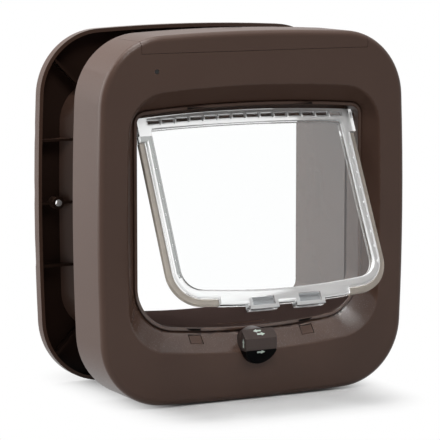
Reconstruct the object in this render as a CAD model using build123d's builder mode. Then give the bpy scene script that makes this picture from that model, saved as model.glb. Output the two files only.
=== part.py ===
from build123d import *
import os
from dataclasses import dataclass, replace
from math import cos, pi, radians, sin, tan

# Cat flap for a door: a room-side housing and an outside frame joined by a tunnel, with a clear
# swinging flap, a four-way lock knob and a motor latch in the sill, and a battery bay along the top edge.
#
# Millimetres. +X is to the right seen from the room, +Y goes out through the door, +Z is up. The origin
# is midway between the two fixing bosses, in the plane where the room-side housing seats on the door.

# Both frames: one bowed, rounded outline
frame_width = 240.0
frame_height = 258.0
frame_side_bow = 4.2
frame_top_bow = 5.1
frame_bottom_bow = 3.7
frame_corner_radius = 48.0
fixing_rise = 3.5  # fixing line above the mid-height of the frames
fixing_inset = 16.0
fixing_spacing = frame_width - 2 * fixing_inset
door_gap = 60.0

# Room-side housing
housing_depth = 44.5
wall = 2.6
face_wall = 3.0
front_edge_radius = 4.5
dish_side_margin = 21.0  # front face left beside, above and below the dish
dish_top_margin = 37.5
dish_bottom_margin = 34.5
dish_half_width = frame_width / 2 - dish_side_margin
dish_top = frame_height / 2 - dish_top_margin
dish_bottom = -frame_height / 2 + dish_bottom_margin
dish_depth = 12.0
dish_corner_radius = 30.0
dish_edge_radius = 3.0
dish_side_slope = 12.0  # from the dish's border to the opening
dish_top_slope = 15.0
dish_bottom_slope = 16.0
opening_half_width = dish_half_width - dish_side_slope
opening_top = dish_top - dish_top_slope
opening_bottom = dish_bottom + dish_bottom_slope
opening_top_bow = 4.0
opening_bottom_bow = 7.5
opening_top_radius = 6.0
opening_bottom_radius = 30.0
lip_width = 2.4
lip_height = 2.0
lip_edge_radius = 0.8
sill_depth = 27.0  # from the front face to the back of the sill ledge

# Back cover with the tunnel sleeve
back_recess = 1.5
back_thickness = 2.5
back_gap = 0.2
tunnel_step = 2.8  # the tunnel is this much wider than the opening on every side
tunnel_bottom_radius = 9.0
sleeve_wall = 2.2
sleeve_gap = 0.4
sleeve_reach = 20.0  # of the back cover's sleeve past the seat plane
fixing_boss_radius = 4.5
fixing_boss_length = 22.0
fixing_pilot_radius = 1.6
fixing_pilot_depth = 18.0

# Draught rib of the back cover, behind the flap's hinge bar
header_rise = 0.85  # of its lower edge above the hinge axis
header_end_rise = 3.0  # over the flap's rims
header_half_width = 72.0
header_thickness = 2.0

# Housing screws
screw_boss_radius = 4.0
screw_core_radius = 1.25
screw_gap = 0.05
screw_length = 12.0
screw_head_radius = 2.7
screw_head_height = 1.2
corner_screw_side_inset = 22.0
corner_screw_end_inset = 30.0
side_screw_inset = 14.0
corner_screw_x = frame_width / 2 - corner_screw_side_inset
corner_screw_rise = frame_height / 2 - corner_screw_end_inset
side_screw_x = frame_width / 2 - side_screw_inset
side_screw_rise = -50.0

# Outside frame
outside_depth = 11.7
outside_face_wall = 2.5
outside_edge_radius = 5.0
outside_dish_depth = 9.0
outside_sleeve_start = 35.0  # depth behind the housing's front face where the tunnel sleeve begins
tongue_length = 1.6  # of the tunnel sleeve into the outside frame
tongue_gap = 0.1
fixing_hole_radius = 2.5
fixing_head_radius = 4.6
fixing_head_depth = 2.0
rib_pitch = 45.0
rib_thickness = 1.8
rib_drop = 1.2  # rib edge below the rim

# Flap, measured from its hinge axis
hinge_depth = 18.5
hinge_drop = 11.5  # below the top of the opening
hinge_rise = opening_top - hinge_drop
flap_open_angle = 26.6
flap_side_gap = 2.5
flap_foot_gap = 10.0
flap_half_width = opening_half_width - flap_side_gap
flap_reach = hinge_rise - opening_bottom - flap_foot_gap
flap_bottom_bow = 5.0
flap_corner_radius = 24.0
flap_top_radius = 1.5
flap_window_radius = 3.0
pane_thickness = 2.4
flap_rim_width = 6.0
flap_rim_depth = 7.0
flap_rim_radius = 2.0  # of its front edges
seal_width = 4.2
seal_thickness = 4.0
seal_start = 12.8
seal_end_inset = 34.5
seal_end_x = flap_half_width - seal_end_inset
bar_half_height = 3.9  # at the ends, round the pins
bar_top_bow = 3.4
bar_bottom_bow = 2.0
knuckle_width = 7.0
tick_pitch = 11.0
tick_count = 1 + int(2 * (flap_half_width - seal_width - knuckle_width) / tick_pitch)
tick_width = 1.2
tick_slot_height = 4.0
tick_slot_depth = 2.6
pin_radius = 2.5
pin_gap = 0.05
pin_engagement = 5.0
socket_depth = 6.5
pin_reach = opening_half_width + pin_engagement
socket_reach = opening_half_width + socket_depth
socket_radius = 4.5
magnet_x = 18.0
magnet_length = 17.0
magnet_height = 6.0
magnet_depth = 5.0
magnet_gap = 0.1
magnet_wall = 2.5
pocket_drop = 3.5  # magnet pockets below the flap's lower edge

# Four-way lock
knob_inset = 3.5  # of its axis from the dish's lower border
knob_rise = dish_bottom + knob_inset
knob_radius = 12.5
knob_proud = 7.0
knob_back_depth = 9.5
knob_gap = 0.4
knob_grip_top = 6.2  # grip bar's edges, above and below the axis
knob_grip_bottom = 2.0
knob_upper_flat = 8.0  # depth of the slanted flats
knob_lower_flat = 5.0
knob_edge_radius = 0.8
knob_corner_radius = 2.0
pocket_floor = 2.0
shaft_radius = 5.0
shaft_gap = 0.05
cam_hub_radius = 7.5
cam_low_radius = 9.4
cam_high_radius = 22.0
cam_lobe_span = 156.0
cam_front_depth = 12.8
cam_rear_depth = 22.6
cam_front_ring = 1.8
cam_rear_ring = 2.4
cam_slot_gap = 0.3
knob_screw_radius = 1.5
knob_screw_length = 8.0
knob_screw_head_radius = 3.0
knob_screw_head = 1.6

# Motor latch
lug_x = 44.0
lug_width = 9.0
lug_front_depth = 5.5
lug_thickness = 4.1
lug_gap = 0.5
latch_travel = 16.0
latch_drop = 9.0  # below the dish's lower border
latch_top_rise = dish_bottom - latch_drop
latch_bar_height = 6.0
latch_bar_depth = 28.0
latch_bar_thickness = 5.0
rack_back_x = 49.0
rack_root_x = 53.0
rack_end_inset = 4.7
rack_bottom_rise = -frame_height / 2 + rack_end_inset
gear_module = 1.0
pinion_teeth = 10
tooth_addendum = 0.85
tooth_dedendum = 1.15
tooth_flank_angle = 20.0
tooth_backlash = 0.5
pinion_drop = 2.0
pinion_rise = latch_top_rise - pinion_drop
pinion_gap = 0.2
motor_width = 12.0
motor_height = 10.0
motor_length = 23.0
motor_nose_radius = 2.5
motor_nose_length = 0.8
motor_shaft_radius = 1.5
motor_shaft_gap = 0.05
motor_shaft_engagement = 6.0
cradle_thickness = 2.0
cradle_inset = 4.0

# Battery bay and electronics along the top
cover_side_inset = 32.0
cover_height = 13.7
cover_half_width = frame_width / 2 - cover_side_inset
cover_lower_rise = frame_height / 2 - cover_height
cover_depth = 38.0
cover_gap = 0.25
finger_notch_width = 15.0
finger_notch_depth = 3.0
cell_radius = 7.1
cell_length = 49.2
cell_nub_radius = 2.7
cell_nub_length = 1.3
cell_pitch = 15.2
contact_thickness = 0.5
contact_spring_length = 4.0
contact_spring_radius = 4.5
contact_spring_taper = 12.0
tray_wall = 1.4
tray_drop = 15.3  # of the tray's floor below the cover
tray_floor_rise = cover_lower_rise - tray_drop
tray_gap = 0.4
tray_end_inset = 2.0
tray_right_x = cover_half_width - tray_end_inset
deck_left_x = -tray_right_x
deck_drop = 3.3
deck_rise = cover_lower_rise - deck_drop
deck_thickness = 2.0
board_thickness = 1.6
board_drop = 16.3
board_rise = cover_lower_rise - board_drop
board_margin = 2.0
post_size = 4.0
switch_size = 6.0
switch_height = 3.5
button_inset = 34.0  # from the deck's left end
button_x = deck_left_x + button_inset
button_radius = 3.7
button_gap = 0.3
button_flange_radius = 5.0
button_flange_thickness = 1.2
button_stop_gap = 0.3
button_proud = 1.6
button_travel = 1.0
light_inset = 9.2
light_drop = 12.3
light_x = deck_left_x + light_inset
light_rise = cover_lower_rise - light_drop
light_radius = 1.5
light_gap = 0.1
light_length = 8.0
light_chip_size = 4.0
coil_thickness = 2.5
coil_width = 6.0
coil_gap = 0.1

# Places worked out from the sizes above
BACK = (0, 1, 0)
front_y = -housing_depth
mid_z = -fixing_rise
cut_margin = 1.0  # how far a cutting solid runs past the face it opens


def depth(behind_front):
    """Y of a plane that lies this far behind the housing's front face."""
    return front_y + behind_front


def rise(above_middle):
    """Z of a level that lies this far above the frames' mid-height."""
    return mid_z + above_middle


def upright(y):
    """Sketch plane across the door at y, with sketch axes along X and Z."""
    return Plane.XZ.offset(-y)


@dataclass(frozen=True)
class Outline:
    """Rounded rectangle with bowed sides, given by the reach of each side."""

    half_width: float
    top: float
    bottom: float
    side_bow: float
    top_bow: float
    bottom_bow: float
    top_radius: float
    bottom_radius: float

    def grown(self, by):
        """The same outline with every side moved outwards."""
        return replace(
            self,
            half_width=self.half_width + by,
            top=self.top + by,
            bottom=self.bottom - by,
            top_radius=self.top_radius + by,
            bottom_radius=self.bottom_radius + by,
        )

    def face(self, plane):
        """The outline as a filled sketch on a plane."""
        corner_x = self.half_width - self.side_bow
        upper = self.top - self.top_bow
        lower = self.bottom + self.bottom_bow
        middle = (upper + lower) / 2
        corners = [(-corner_x, upper), (corner_x, upper), (corner_x, lower), (-corner_x, lower)]
        crowns = [(0, self.top), (self.half_width, middle), (0, self.bottom), (-self.half_width, middle)]
        bows = [self.top_bow, self.side_bow, self.bottom_bow, self.side_bow]
        with BuildSketch(plane) as profile:
            with BuildLine():
                for index, crown in enumerate(crowns):
                    start = corners[index]
                    end = corners[(index + 1) % len(corners)]
                    if bows[index]:
                        ThreePointArc(start, crown, end)
                    else:
                        Line(start, end)
            make_face()
            fillet(profile.vertices().group_by(Axis.Y)[-1], self.top_radius)
            fillet(profile.vertices().group_by(Axis.Y)[0], self.bottom_radius)
        return profile.sketch


def finish(piece, name):
    """Label a finished piece and write it to its own file."""
    piece.part.label = name
    export_step(piece.part, f"parts/{name}.step")


os.makedirs("parts", exist_ok=True)

frame_outline = Outline(
    half_width=frame_width / 2,
    top=rise(frame_height / 2),
    bottom=rise(-frame_height / 2),
    side_bow=frame_side_bow,
    top_bow=frame_top_bow,
    bottom_bow=frame_bottom_bow,
    top_radius=frame_corner_radius,
    bottom_radius=frame_corner_radius,
)
dish_outline = Outline(
    half_width=dish_half_width,
    top=rise(dish_top),
    bottom=rise(dish_bottom),
    side_bow=frame_side_bow / 2,
    top_bow=frame_top_bow,
    bottom_bow=opening_bottom_bow,
    top_radius=dish_corner_radius,
    bottom_radius=dish_corner_radius,
)
opening_outline = Outline(
    half_width=opening_half_width,
    top=rise(opening_top),
    bottom=rise(opening_bottom),
    side_bow=0,
    top_bow=opening_top_bow,
    bottom_bow=opening_bottom_bow,
    top_radius=opening_top_radius,
    bottom_radius=opening_bottom_radius,
)
tunnel_outline = replace(opening_outline.grown(tunnel_step), bottom_radius=tunnel_bottom_radius)
sleeve_outline = tunnel_outline.grown(sleeve_wall + sleeve_gap)
lip_outline = opening_outline.grown(lip_width)

seat_back_y = -back_recess
seat_front_y = seat_back_y - back_thickness
outside_rim_y = door_gap
outside_face_y = outside_rim_y + outside_depth
hinge_y = depth(hinge_depth)
hinge_z = rise(hinge_rise)
knob_z = rise(knob_rise)
screw_places = [
    (side * x, rise(level))
    for side in (-1, 1)
    for x, level in (
        (corner_screw_x, corner_screw_rise),
        (corner_screw_x, -corner_screw_rise),
        (side_screw_x, side_screw_rise),
    )
]
fixing_places = [(-fixing_spacing / 2, 0), (fixing_spacing / 2, 0)]
lug_centre_depth = lug_front_depth + lug_thickness / 2
pitch_radius = gear_module * pinion_teeth / 2
tooth_pitch = pi * gear_module
rack_pitch_x = rack_root_x + tooth_dedendum
pinion_x = rack_pitch_x + pitch_radius
pinion_z = rise(pinion_rise)
motor_back_depth = latch_bar_depth - pinion_gap - motor_nose_length
ring_places = [
    (cam_front_depth, cam_front_ring, 135.0),
    (cam_rear_depth, cam_rear_ring, 225.0),
]

# The housing's outer form, shared by the housing and its battery cover
with BuildPart() as housing_block:
    extrude(frame_outline.face(upright(front_y)), amount=housing_depth, dir=BACK)
    fillet(faces().sort_by(Axis.Y)[0].edges(), front_edge_radius)

# The dished space in front of the opening
with BuildPart() as dish_space:
    loft([dish_outline.face(upright(front_y)), lip_outline.face(upright(depth(dish_depth)))])

# The lip that stands up round the opening, with rounded edges
with BuildPart() as opening_lip:
    extrude(lip_outline.face(upright(depth(dish_depth - lip_height))), amount=lip_height + wall, dir=BACK)
    extrude(
        opening_outline.face(upright(depth(dish_depth - lip_height))),
        amount=lip_height + wall,
        dir=BACK,
        mode=Mode.SUBTRACT,
    )
    fillet(faces().sort_by(Axis.Y)[0].edges(), lip_edge_radius)

# Room-side housing: hollow moulding with the dish, the lip, the sill ledge and its bosses
with BuildPart() as interior_housing:
    add(housing_block.part)
    extrude(
        frame_outline.grown(-wall).face(upright(depth(face_wall))),
        amount=housing_depth,
        dir=BACK,
        mode=Mode.SUBTRACT,
    )
    loft(
        [
            dish_outline.grown(wall).face(upright(depth(face_wall / 2))),
            lip_outline.grown(wall).face(upright(depth(dish_depth + wall))),
        ]
    )
    extrude(
        opening_outline.grown(wall).face(upright(depth(dish_depth))),
        amount=sill_depth - dish_depth,
        dir=BACK,
    )
    # round pocket that the lock knob sits in, with a bearing floor
    with BuildSketch(upright(depth(face_wall / 2))):
        with Locations((0, knob_z)):
            Circle(knob_radius + knob_gap + wall)
    extrude(amount=knob_back_depth + knob_gap + pocket_floor - face_wall / 2, dir=BACK)
    # hinge sockets outside the side walls of the opening
    for side in (-1, 1):
        with BuildSketch(Plane.YZ.offset(side * opening_half_width)):
            with Locations((hinge_y, hinge_z)):
                Circle(socket_radius)
        extrude(amount=socket_reach - opening_half_width, dir=(side, 0, 0))
    # screw bosses that the back cover is screwed to
    with BuildSketch(upright(depth(face_wall / 2))):
        with Locations(*screw_places):
            Circle(screw_boss_radius)
    extrude(amount=seat_front_y - depth(face_wall / 2), dir=BACK)
    # cradle ribs under the latch motor
    for rib_depth in (cradle_inset + face_wall, motor_back_depth - cradle_inset):
        with BuildSketch(upright(depth(rib_depth))):
            with Locations((pinion_x, pinion_z - motor_height / 2)):
                Rectangle(
                    motor_width,
                    pinion_z - motor_height / 2 - frame_outline.bottom - wall / 2,
                    align=(Align.CENTER, Align.MAX),
                )
        extrude(amount=cradle_thickness, dir=BACK)
    # the dish with a soft border, the opening and the raised lip round it
    add(dish_space.part, mode=Mode.SUBTRACT)
    front_face = faces().filter_by(Axis.Y).sort_by(Axis.Y)[0]
    fillet(front_face.inner_wires().sort_by(SortBy.LENGTH)[-1].edges(), dish_edge_radius)
    extrude(
        opening_outline.face(upright(depth(0))),
        amount=sill_depth + cut_margin,
        dir=BACK,
        mode=Mode.SUBTRACT,
    )
    add(opening_lip.part)
    # knob pocket, shaft bearing and the slots that the lock cam rises through
    with BuildSketch(upright(depth(-cut_margin))):
        with Locations((0, knob_z)):
            Circle(knob_radius + knob_gap)
    extrude(amount=cut_margin + knob_back_depth + knob_gap, dir=BACK, mode=Mode.SUBTRACT)
    with BuildSketch(upright(depth(knob_back_depth))):
        with Locations((0, knob_z)):
            Circle(shaft_radius + shaft_gap)
    extrude(amount=knob_gap + pocket_floor + cut_margin, dir=BACK, mode=Mode.SUBTRACT)
    for ring_depth, ring_width, _ in ring_places:
        with BuildSketch(upright(depth(ring_depth - cam_slot_gap))):
            with Locations((0, knob_z)):
                Circle(cam_high_radius + cam_slot_gap)
        extrude(amount=ring_width + 2 * cam_slot_gap, dir=BACK, mode=Mode.SUBTRACT)
    # windows for the latch lugs
    with BuildSketch(Plane.XY.offset(rise(opening_bottom))):
        with Locations(*[(side * lug_x, depth(lug_centre_depth)) for side in (-1, 1)]):
            Rectangle(lug_width + 2 * lug_gap, lug_thickness + 2 * lug_gap)
    extrude(amount=-(rise(opening_bottom) - rise(latch_top_rise)), mode=Mode.SUBTRACT)
    # hinge pin holes, screw pilots, light hole
    for side in (-1, 1):
        with BuildSketch(Plane.YZ.offset(side * (opening_half_width - cut_margin))):
            with Locations((hinge_y, hinge_z)):
                Circle(pin_radius + pin_gap)
        extrude(
            amount=socket_reach - opening_half_width + 2 * cut_margin,
            dir=(side, 0, 0),
            mode=Mode.SUBTRACT,
        )
    with BuildSketch(upright(seat_front_y)):
        with Locations(*screw_places):
            Circle(screw_core_radius + screw_gap)
    extrude(amount=-(screw_length + cut_margin), dir=BACK, mode=Mode.SUBTRACT)
    with BuildSketch(upright(depth(-cut_margin))):
        with Locations((light_x, rise(light_rise))):
            Circle(light_radius + light_gap)
    extrude(amount=face_wall + 2 * cut_margin, dir=BACK, mode=Mode.SUBTRACT)
    # the bay that the battery cover closes
    with Locations((0, depth(-cut_margin), rise(cover_lower_rise) - cover_gap)):
        Box(
            2 * (cover_half_width + cover_gap),
            cover_depth + cover_gap + cut_margin,
            frame_height,
            align=(Align.CENTER, Align.MIN, Align.MIN),
            mode=Mode.SUBTRACT,
        )
finish(interior_housing, "interior_housing")

# The draught rib behind the flap's hinge bar, with ends cut away for the flap's rims
sleeve_front_y = depth(sill_depth) + back_gap
below_header_outline = replace(
    sleeve_outline.grown(cut_margin),
    top=hinge_z + header_rise,
    top_bow=opening_top_bow,
    top_radius=cut_margin,
)
with BuildPart() as draught_rib:
    extrude(sleeve_outline.face(upright(sleeve_front_y)), amount=header_thickness, dir=BACK)
    extrude(
        below_header_outline.face(upright(sleeve_front_y)),
        amount=header_thickness,
        dir=BACK,
        mode=Mode.SUBTRACT,
    )
    for side in (-1, 1):
        with Locations((side * header_half_width, sleeve_front_y, hinge_z + header_end_rise)):
            Box(
                frame_width,
                header_thickness,
                frame_height,
                align=(Align.MIN if side > 0 else Align.MAX, Align.MIN, Align.MAX),
                mode=Mode.SUBTRACT,
            )

# Back cover: plate inside the housing's rim, tunnel sleeve, draught rib and the two fixing bosses
with BuildPart() as interior_back:
    extrude(
        frame_outline.grown(-wall - back_gap).face(upright(seat_front_y)),
        amount=back_thickness,
        dir=BACK,
    )
    extrude(
        sleeve_outline.grown(sleeve_wall).face(upright(sleeve_front_y)),
        amount=sleeve_reach - sleeve_front_y,
        dir=BACK,
    )
    with BuildSketch(upright(0)):
        with Locations(*fixing_places):
            Circle(fixing_boss_radius)
    extrude(amount=-fixing_boss_length, dir=BACK)
    extrude(
        sleeve_outline.face(upright(sleeve_front_y - cut_margin)),
        amount=sleeve_reach - sleeve_front_y + 2 * cut_margin,
        dir=BACK,
        mode=Mode.SUBTRACT,
    )
    add(draught_rib.part)
    with BuildSketch(upright(0)):
        with Locations(*fixing_places):
            Circle(fixing_pilot_radius)
    extrude(amount=-fixing_pilot_depth, dir=BACK, mode=Mode.SUBTRACT)
    with BuildSketch(upright(seat_front_y)):
        with Locations(*screw_places):
            Circle(screw_core_radius + screw_gap)
    extrude(amount=back_thickness, dir=BACK, mode=Mode.SUBTRACT)
finish(interior_back, "interior_back")

# Housing screws, pan heads on the back cover
with BuildPart() as housing_screws:
    with BuildSketch(upright(seat_back_y)):
        with Locations(*screw_places):
            Circle(screw_head_radius)
    extrude(amount=screw_head_height, dir=BACK)
    with BuildSketch(upright(seat_back_y)):
        with Locations(*screw_places):
            Circle(screw_core_radius)
    extrude(amount=-screw_length, dir=BACK)
finish(housing_screws, "housing_screws")

# Stiffening ribs of the outside frame, cut to its rim
rib_y = outside_rim_y + rib_drop
rib_length = outside_face_y - outside_face_wall / 2 - rib_y
with BuildPart() as outside_ribs:
    with BuildSketch(upright(rib_y)):
        with GridLocations(0, rib_pitch, 1, 3):
            Rectangle(frame_width, rib_thickness)
        with Locations((0, mid_z)):
            with GridLocations(rib_pitch, 0, 3, 1):
                Rectangle(rib_thickness, frame_height)
            with PolarLocations(0, 2, start_angle=45, angular_range=180):
                Rectangle(frame_width + frame_height, rib_thickness)
    extrude(amount=rib_length, dir=BACK)
    extrude(
        frame_outline.grown(-wall / 2).face(upright(rib_y)),
        amount=rib_length,
        dir=BACK,
        mode=Mode.INTERSECT,
    )

# Outside frame: shallow hollow moulding with a dish, ribs, fixing bosses and a seat for the tunnel sleeve
dish_floor_y = outside_face_y - outside_dish_depth
joint_y = dish_floor_y - sleeve_wall
with BuildPart() as exterior_frame:
    extrude(frame_outline.face(upright(outside_rim_y)), amount=outside_depth, dir=BACK)
    fillet(faces().sort_by(Axis.Y)[-1].edges(), outside_edge_radius)
    extrude(
        frame_outline.grown(-wall).face(upright(outside_rim_y)),
        amount=outside_depth - outside_face_wall,
        dir=BACK,
        mode=Mode.SUBTRACT,
    )
    loft(
        [
            tunnel_outline.grown(sleeve_wall).face(upright(joint_y)),
            dish_outline.grown(sleeve_wall).face(upright(outside_face_y - outside_face_wall / 2)),
        ]
    )
    add(outside_ribs.part)
    with BuildSketch(upright(rib_y)):
        with Locations(*fixing_places):
            Circle(fixing_boss_radius)
    extrude(amount=rib_length, dir=BACK)
    loft(
        [
            tunnel_outline.face(upright(dish_floor_y)),
            dish_outline.face(upright(outside_face_y)),
        ],
        mode=Mode.SUBTRACT,
    )
    outer_face = faces().filter_by(Axis.Y).sort_by(Axis.Y)[-1]
    fillet(outer_face.inner_wires().sort_by(SortBy.LENGTH)[-1].edges(), dish_edge_radius)
    extrude(
        tunnel_outline.face(upright(outside_rim_y)),
        amount=dish_floor_y - outside_rim_y + cut_margin,
        dir=BACK,
        mode=Mode.SUBTRACT,
    )
    extrude(
        tunnel_outline.grown(sleeve_wall / 2).face(upright(outside_rim_y)),
        amount=joint_y - outside_rim_y + tongue_length + tongue_gap,
        dir=BACK,
        mode=Mode.SUBTRACT,
    )
    with BuildSketch(upright(rib_y)):
        with Locations(*fixing_places):
            Circle(fixing_hole_radius)
    extrude(amount=outside_depth, dir=BACK, mode=Mode.SUBTRACT)
    with BuildSketch(upright(outside_face_y)):
        with Locations(*fixing_places):
            Circle(fixing_head_radius)
    extrude(amount=-fixing_head_depth, dir=BACK, mode=Mode.SUBTRACT)
finish(exterior_frame, "exterior_frame")

# Tunnel sleeve: telescopes in the back cover's sleeve, with a tongue that seats in the outside frame
with BuildPart() as tunnel_sleeve:
    extrude(
        tunnel_outline.grown(sleeve_wall).face(upright(depth(outside_sleeve_start))),
        amount=joint_y - depth(outside_sleeve_start),
        dir=BACK,
    )
    extrude(
        tunnel_outline.grown(sleeve_wall / 2 - tongue_gap).face(upright(joint_y)),
        amount=tongue_length,
        dir=BACK,
    )
    extrude(
        tunnel_outline.face(upright(depth(outside_sleeve_start))),
        amount=joint_y - depth(outside_sleeve_start) + tongue_length,
        dir=BACK,
        mode=Mode.SUBTRACT,
    )
finish(tunnel_sleeve, "tunnel_sleeve")

# Flap: clear moulded pane with a raised rim, a ribbed hinge bar, pivot pins and two magnet pockets
flap_plane = Plane(
    origin=(0, hinge_y, hinge_z),
    x_dir=(1, 0, 0),
    z_dir=(0, -cos(radians(flap_open_angle)), sin(radians(flap_open_angle))),
)
flap_rear_plane = flap_plane.offset(-flap_rim_depth / 2)
flap_axis = Axis(flap_plane.origin, flap_plane.z_dir)
seal_outline = Outline(
    half_width=flap_half_width,
    top=bar_half_height + bar_top_bow,
    bottom=-flap_reach,
    side_bow=0,
    top_bow=bar_top_bow,
    bottom_bow=flap_bottom_bow,
    top_radius=flap_top_radius,
    bottom_radius=flap_corner_radius,
)
pane_outline = replace(seal_outline.grown(-seal_width), top=seal_outline.top, top_radius=flap_top_radius)
window_outline = replace(
    pane_outline.grown(-flap_rim_width),
    top=bar_bottom_bow - bar_half_height,
    top_bow=bar_bottom_bow,
    top_radius=flap_window_radius,
)
below_bar_outline = replace(
    seal_outline.grown(cut_margin),
    top=bar_bottom_bow - bar_half_height,
    top_bow=bar_bottom_bow,
)
knuckle_x = flap_half_width - knuckle_width / 2
pocket_bottom = -flap_reach - pocket_drop
pocket_height = magnet_height + 2 * magnet_wall
magnet_level = pocket_bottom + pocket_height / 2
magnet_places = [(-magnet_x, magnet_level), (magnet_x, magnet_level)]
tick_columns = [(index - (tick_count - 1) / 2) * tick_pitch for index in range(tick_count)]
bar_middle_bow = (bar_top_bow + bar_bottom_bow) / 2
tick_places = [(x, bar_middle_bow * (1 - (x / flap_half_width) ** 2)) for x in tick_columns]

# The bowed hinge bar across the top of the flap
with BuildPart() as flap_bar:
    extrude(seal_outline.face(flap_plane), amount=flap_rim_depth / 2, both=True)
    extrude(below_bar_outline.face(flap_plane), amount=flap_rim_depth, both=True, mode=Mode.SUBTRACT)

# The raised rim round the flap's window, with rounded front edges
with BuildPart() as flap_rim:
    extrude(pane_outline.face(flap_rear_plane), amount=flap_rim_depth)
    extrude(window_outline.face(flap_rear_plane), amount=flap_rim_depth, mode=Mode.SUBTRACT)
    fillet(faces().sort_by(flap_axis)[-1].edges(), flap_rim_radius)

# The clear stretch of the flap's lower edge, between the ends of the seal strips
with BuildPart() as flap_foot:
    extrude(seal_outline.face(flap_rear_plane), amount=flap_rim_depth)
    fillet(faces().sort_by(flap_axis)[-1].edges().sort_by(Axis.Z)[0], flap_rim_radius)
    with BuildSketch(flap_plane):
        with Locations((0, -flap_reach)):
            Rectangle(2 * seal_end_x, flap_rim_width / 2 + seal_width, align=(Align.CENTER, Align.MIN))
    extrude(amount=flap_rim_depth, both=True, mode=Mode.INTERSECT)

with BuildPart() as flap_pane:
    add(flap_rim.part)
    add(flap_foot.part)
    add(flap_bar.part)
    extrude(pane_outline.face(flap_plane), amount=pane_thickness / 2, both=True)
    with BuildSketch(flap_plane):
        with Locations(*[(side * knuckle_x, bar_half_height) for side in (-1, 1)]):
            Rectangle(knuckle_width, bar_half_height + seal_start, align=(Align.CENTER, Align.MAX))
        with Locations(*magnet_places):
            Rectangle(magnet_length + 2 * magnet_wall, pocket_height)
    extrude(amount=flap_rim_depth / 2, both=True)
    with BuildSketch(flap_plane.offset(flap_rim_depth / 2)):
        with Locations(*tick_places):
            Rectangle(tick_pitch - tick_width, tick_slot_height)
    extrude(amount=-tick_slot_depth, mode=Mode.SUBTRACT)
    with BuildSketch(flap_rear_plane):
        with Locations(*magnet_places):
            Rectangle(magnet_length + 2 * magnet_gap, magnet_height + 2 * magnet_gap)
    extrude(amount=magnet_depth, mode=Mode.SUBTRACT)
    for side in (-1, 1):
        with BuildSketch(Plane.YZ.offset(side * knuckle_x)):
            with Locations((hinge_y, hinge_z)):
                Circle(pin_radius)
        extrude(amount=pin_reach - knuckle_x, dir=(side, 0, 0))
finish(flap_pane, "flap_pane")

# Seal strips along the rear of the flap's sides and lower corners
with BuildPart() as flap_seal_left:
    extrude(seal_outline.face(flap_rear_plane), amount=seal_thickness)
    extrude(pane_outline.face(flap_rear_plane), amount=seal_thickness, mode=Mode.SUBTRACT)
    with BuildSketch(flap_plane):
        with Locations((-seal_end_x, -seal_start)):
            Rectangle(flap_half_width, flap_reach, align=(Align.MAX, Align.MAX))
    extrude(amount=flap_rim_depth, both=True, mode=Mode.INTERSECT)
finish(flap_seal_left, "flap_seal_left")

with BuildPart() as flap_seal_right:
    mirror(flap_seal_left.part, about=Plane.YZ)
finish(flap_seal_right, "flap_seal_right")

# Magnets in the flap's lower edge, and their partners under the sill
for name, place in zip(("left", "right"), magnet_places):
    with BuildPart() as flap_magnet:
        with BuildSketch(flap_plane.offset(magnet_depth - flap_rim_depth / 2)):
            with Locations(place):
                Rectangle(magnet_length, magnet_height)
        extrude(amount=-magnet_depth)
    finish(flap_magnet, f"flap_magnet_{name}")

with BuildPart() as sill_magnets:
    with BuildSketch(Plane.XY.offset(rise(opening_bottom) - wall)):
        with Locations(*[(side * magnet_x, hinge_y) for side in (-1, 1)]):
            Rectangle(magnet_length, magnet_height)
    extrude(amount=-magnet_depth)
finish(sill_magnets, "sill_magnets")

# Lock knob: round drum whose proud front is squared at the top, with two slanted flats that leave a grip
# bar, and its shaft
knob_front_y = depth(-knob_proud)
knob_back_y = depth(knob_back_depth)
cam_back_y = depth(cam_rear_depth + cam_rear_ring)
with BuildPart() as lock_knob:
    with BuildSketch(upright(knob_front_y)):
        with Locations((0, knob_z)):
            Circle(knob_radius)
            Rectangle(2 * knob_radius, knob_radius, align=(Align.CENTER, Align.MIN))
        fillet(vertices().group_by(Axis.Y)[-1], knob_corner_radius)
    extrude(amount=knob_proud - knob_gap, dir=BACK)
    fillet(faces().sort_by(Axis.Y)[0].edges(), knob_edge_radius)
    with BuildSketch(upright(knob_front_y + knob_proud - knob_gap)):
        with Locations((0, knob_z)):
            Circle(knob_radius)
    extrude(amount=knob_back_y - knob_front_y - knob_proud + knob_gap, dir=BACK)
    knob_reach = knob_radius + knob_edge_radius
    for edge, far, slope in (
        (knob_grip_top, knob_reach, knob_upper_flat),
        (-knob_grip_bottom, -knob_reach, knob_lower_flat),
    ):
        with BuildSketch(Plane.YZ):
            with BuildLine():
                Polyline(
                    (knob_front_y, knob_z + edge),
                    (knob_front_y + slope, knob_z + far),
                    (knob_front_y - cut_margin, knob_z + far),
                    (knob_front_y - cut_margin, knob_z + edge),
                    close=True,
                )
            make_face()
        extrude(amount=knob_radius + cut_margin, both=True, mode=Mode.SUBTRACT)
    with BuildSketch(upright(knob_back_y)):
        with Locations((0, knob_z)):
            Circle(shaft_radius)
    extrude(amount=cam_back_y - knob_back_y, dir=BACK)
    with BuildSketch(upright(cam_back_y)):
        with Locations((0, knob_z)):
            Circle(knob_screw_radius)
    extrude(amount=-knob_screw_length, dir=BACK, mode=Mode.SUBTRACT)
finish(lock_knob, "lock_knob")

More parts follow.
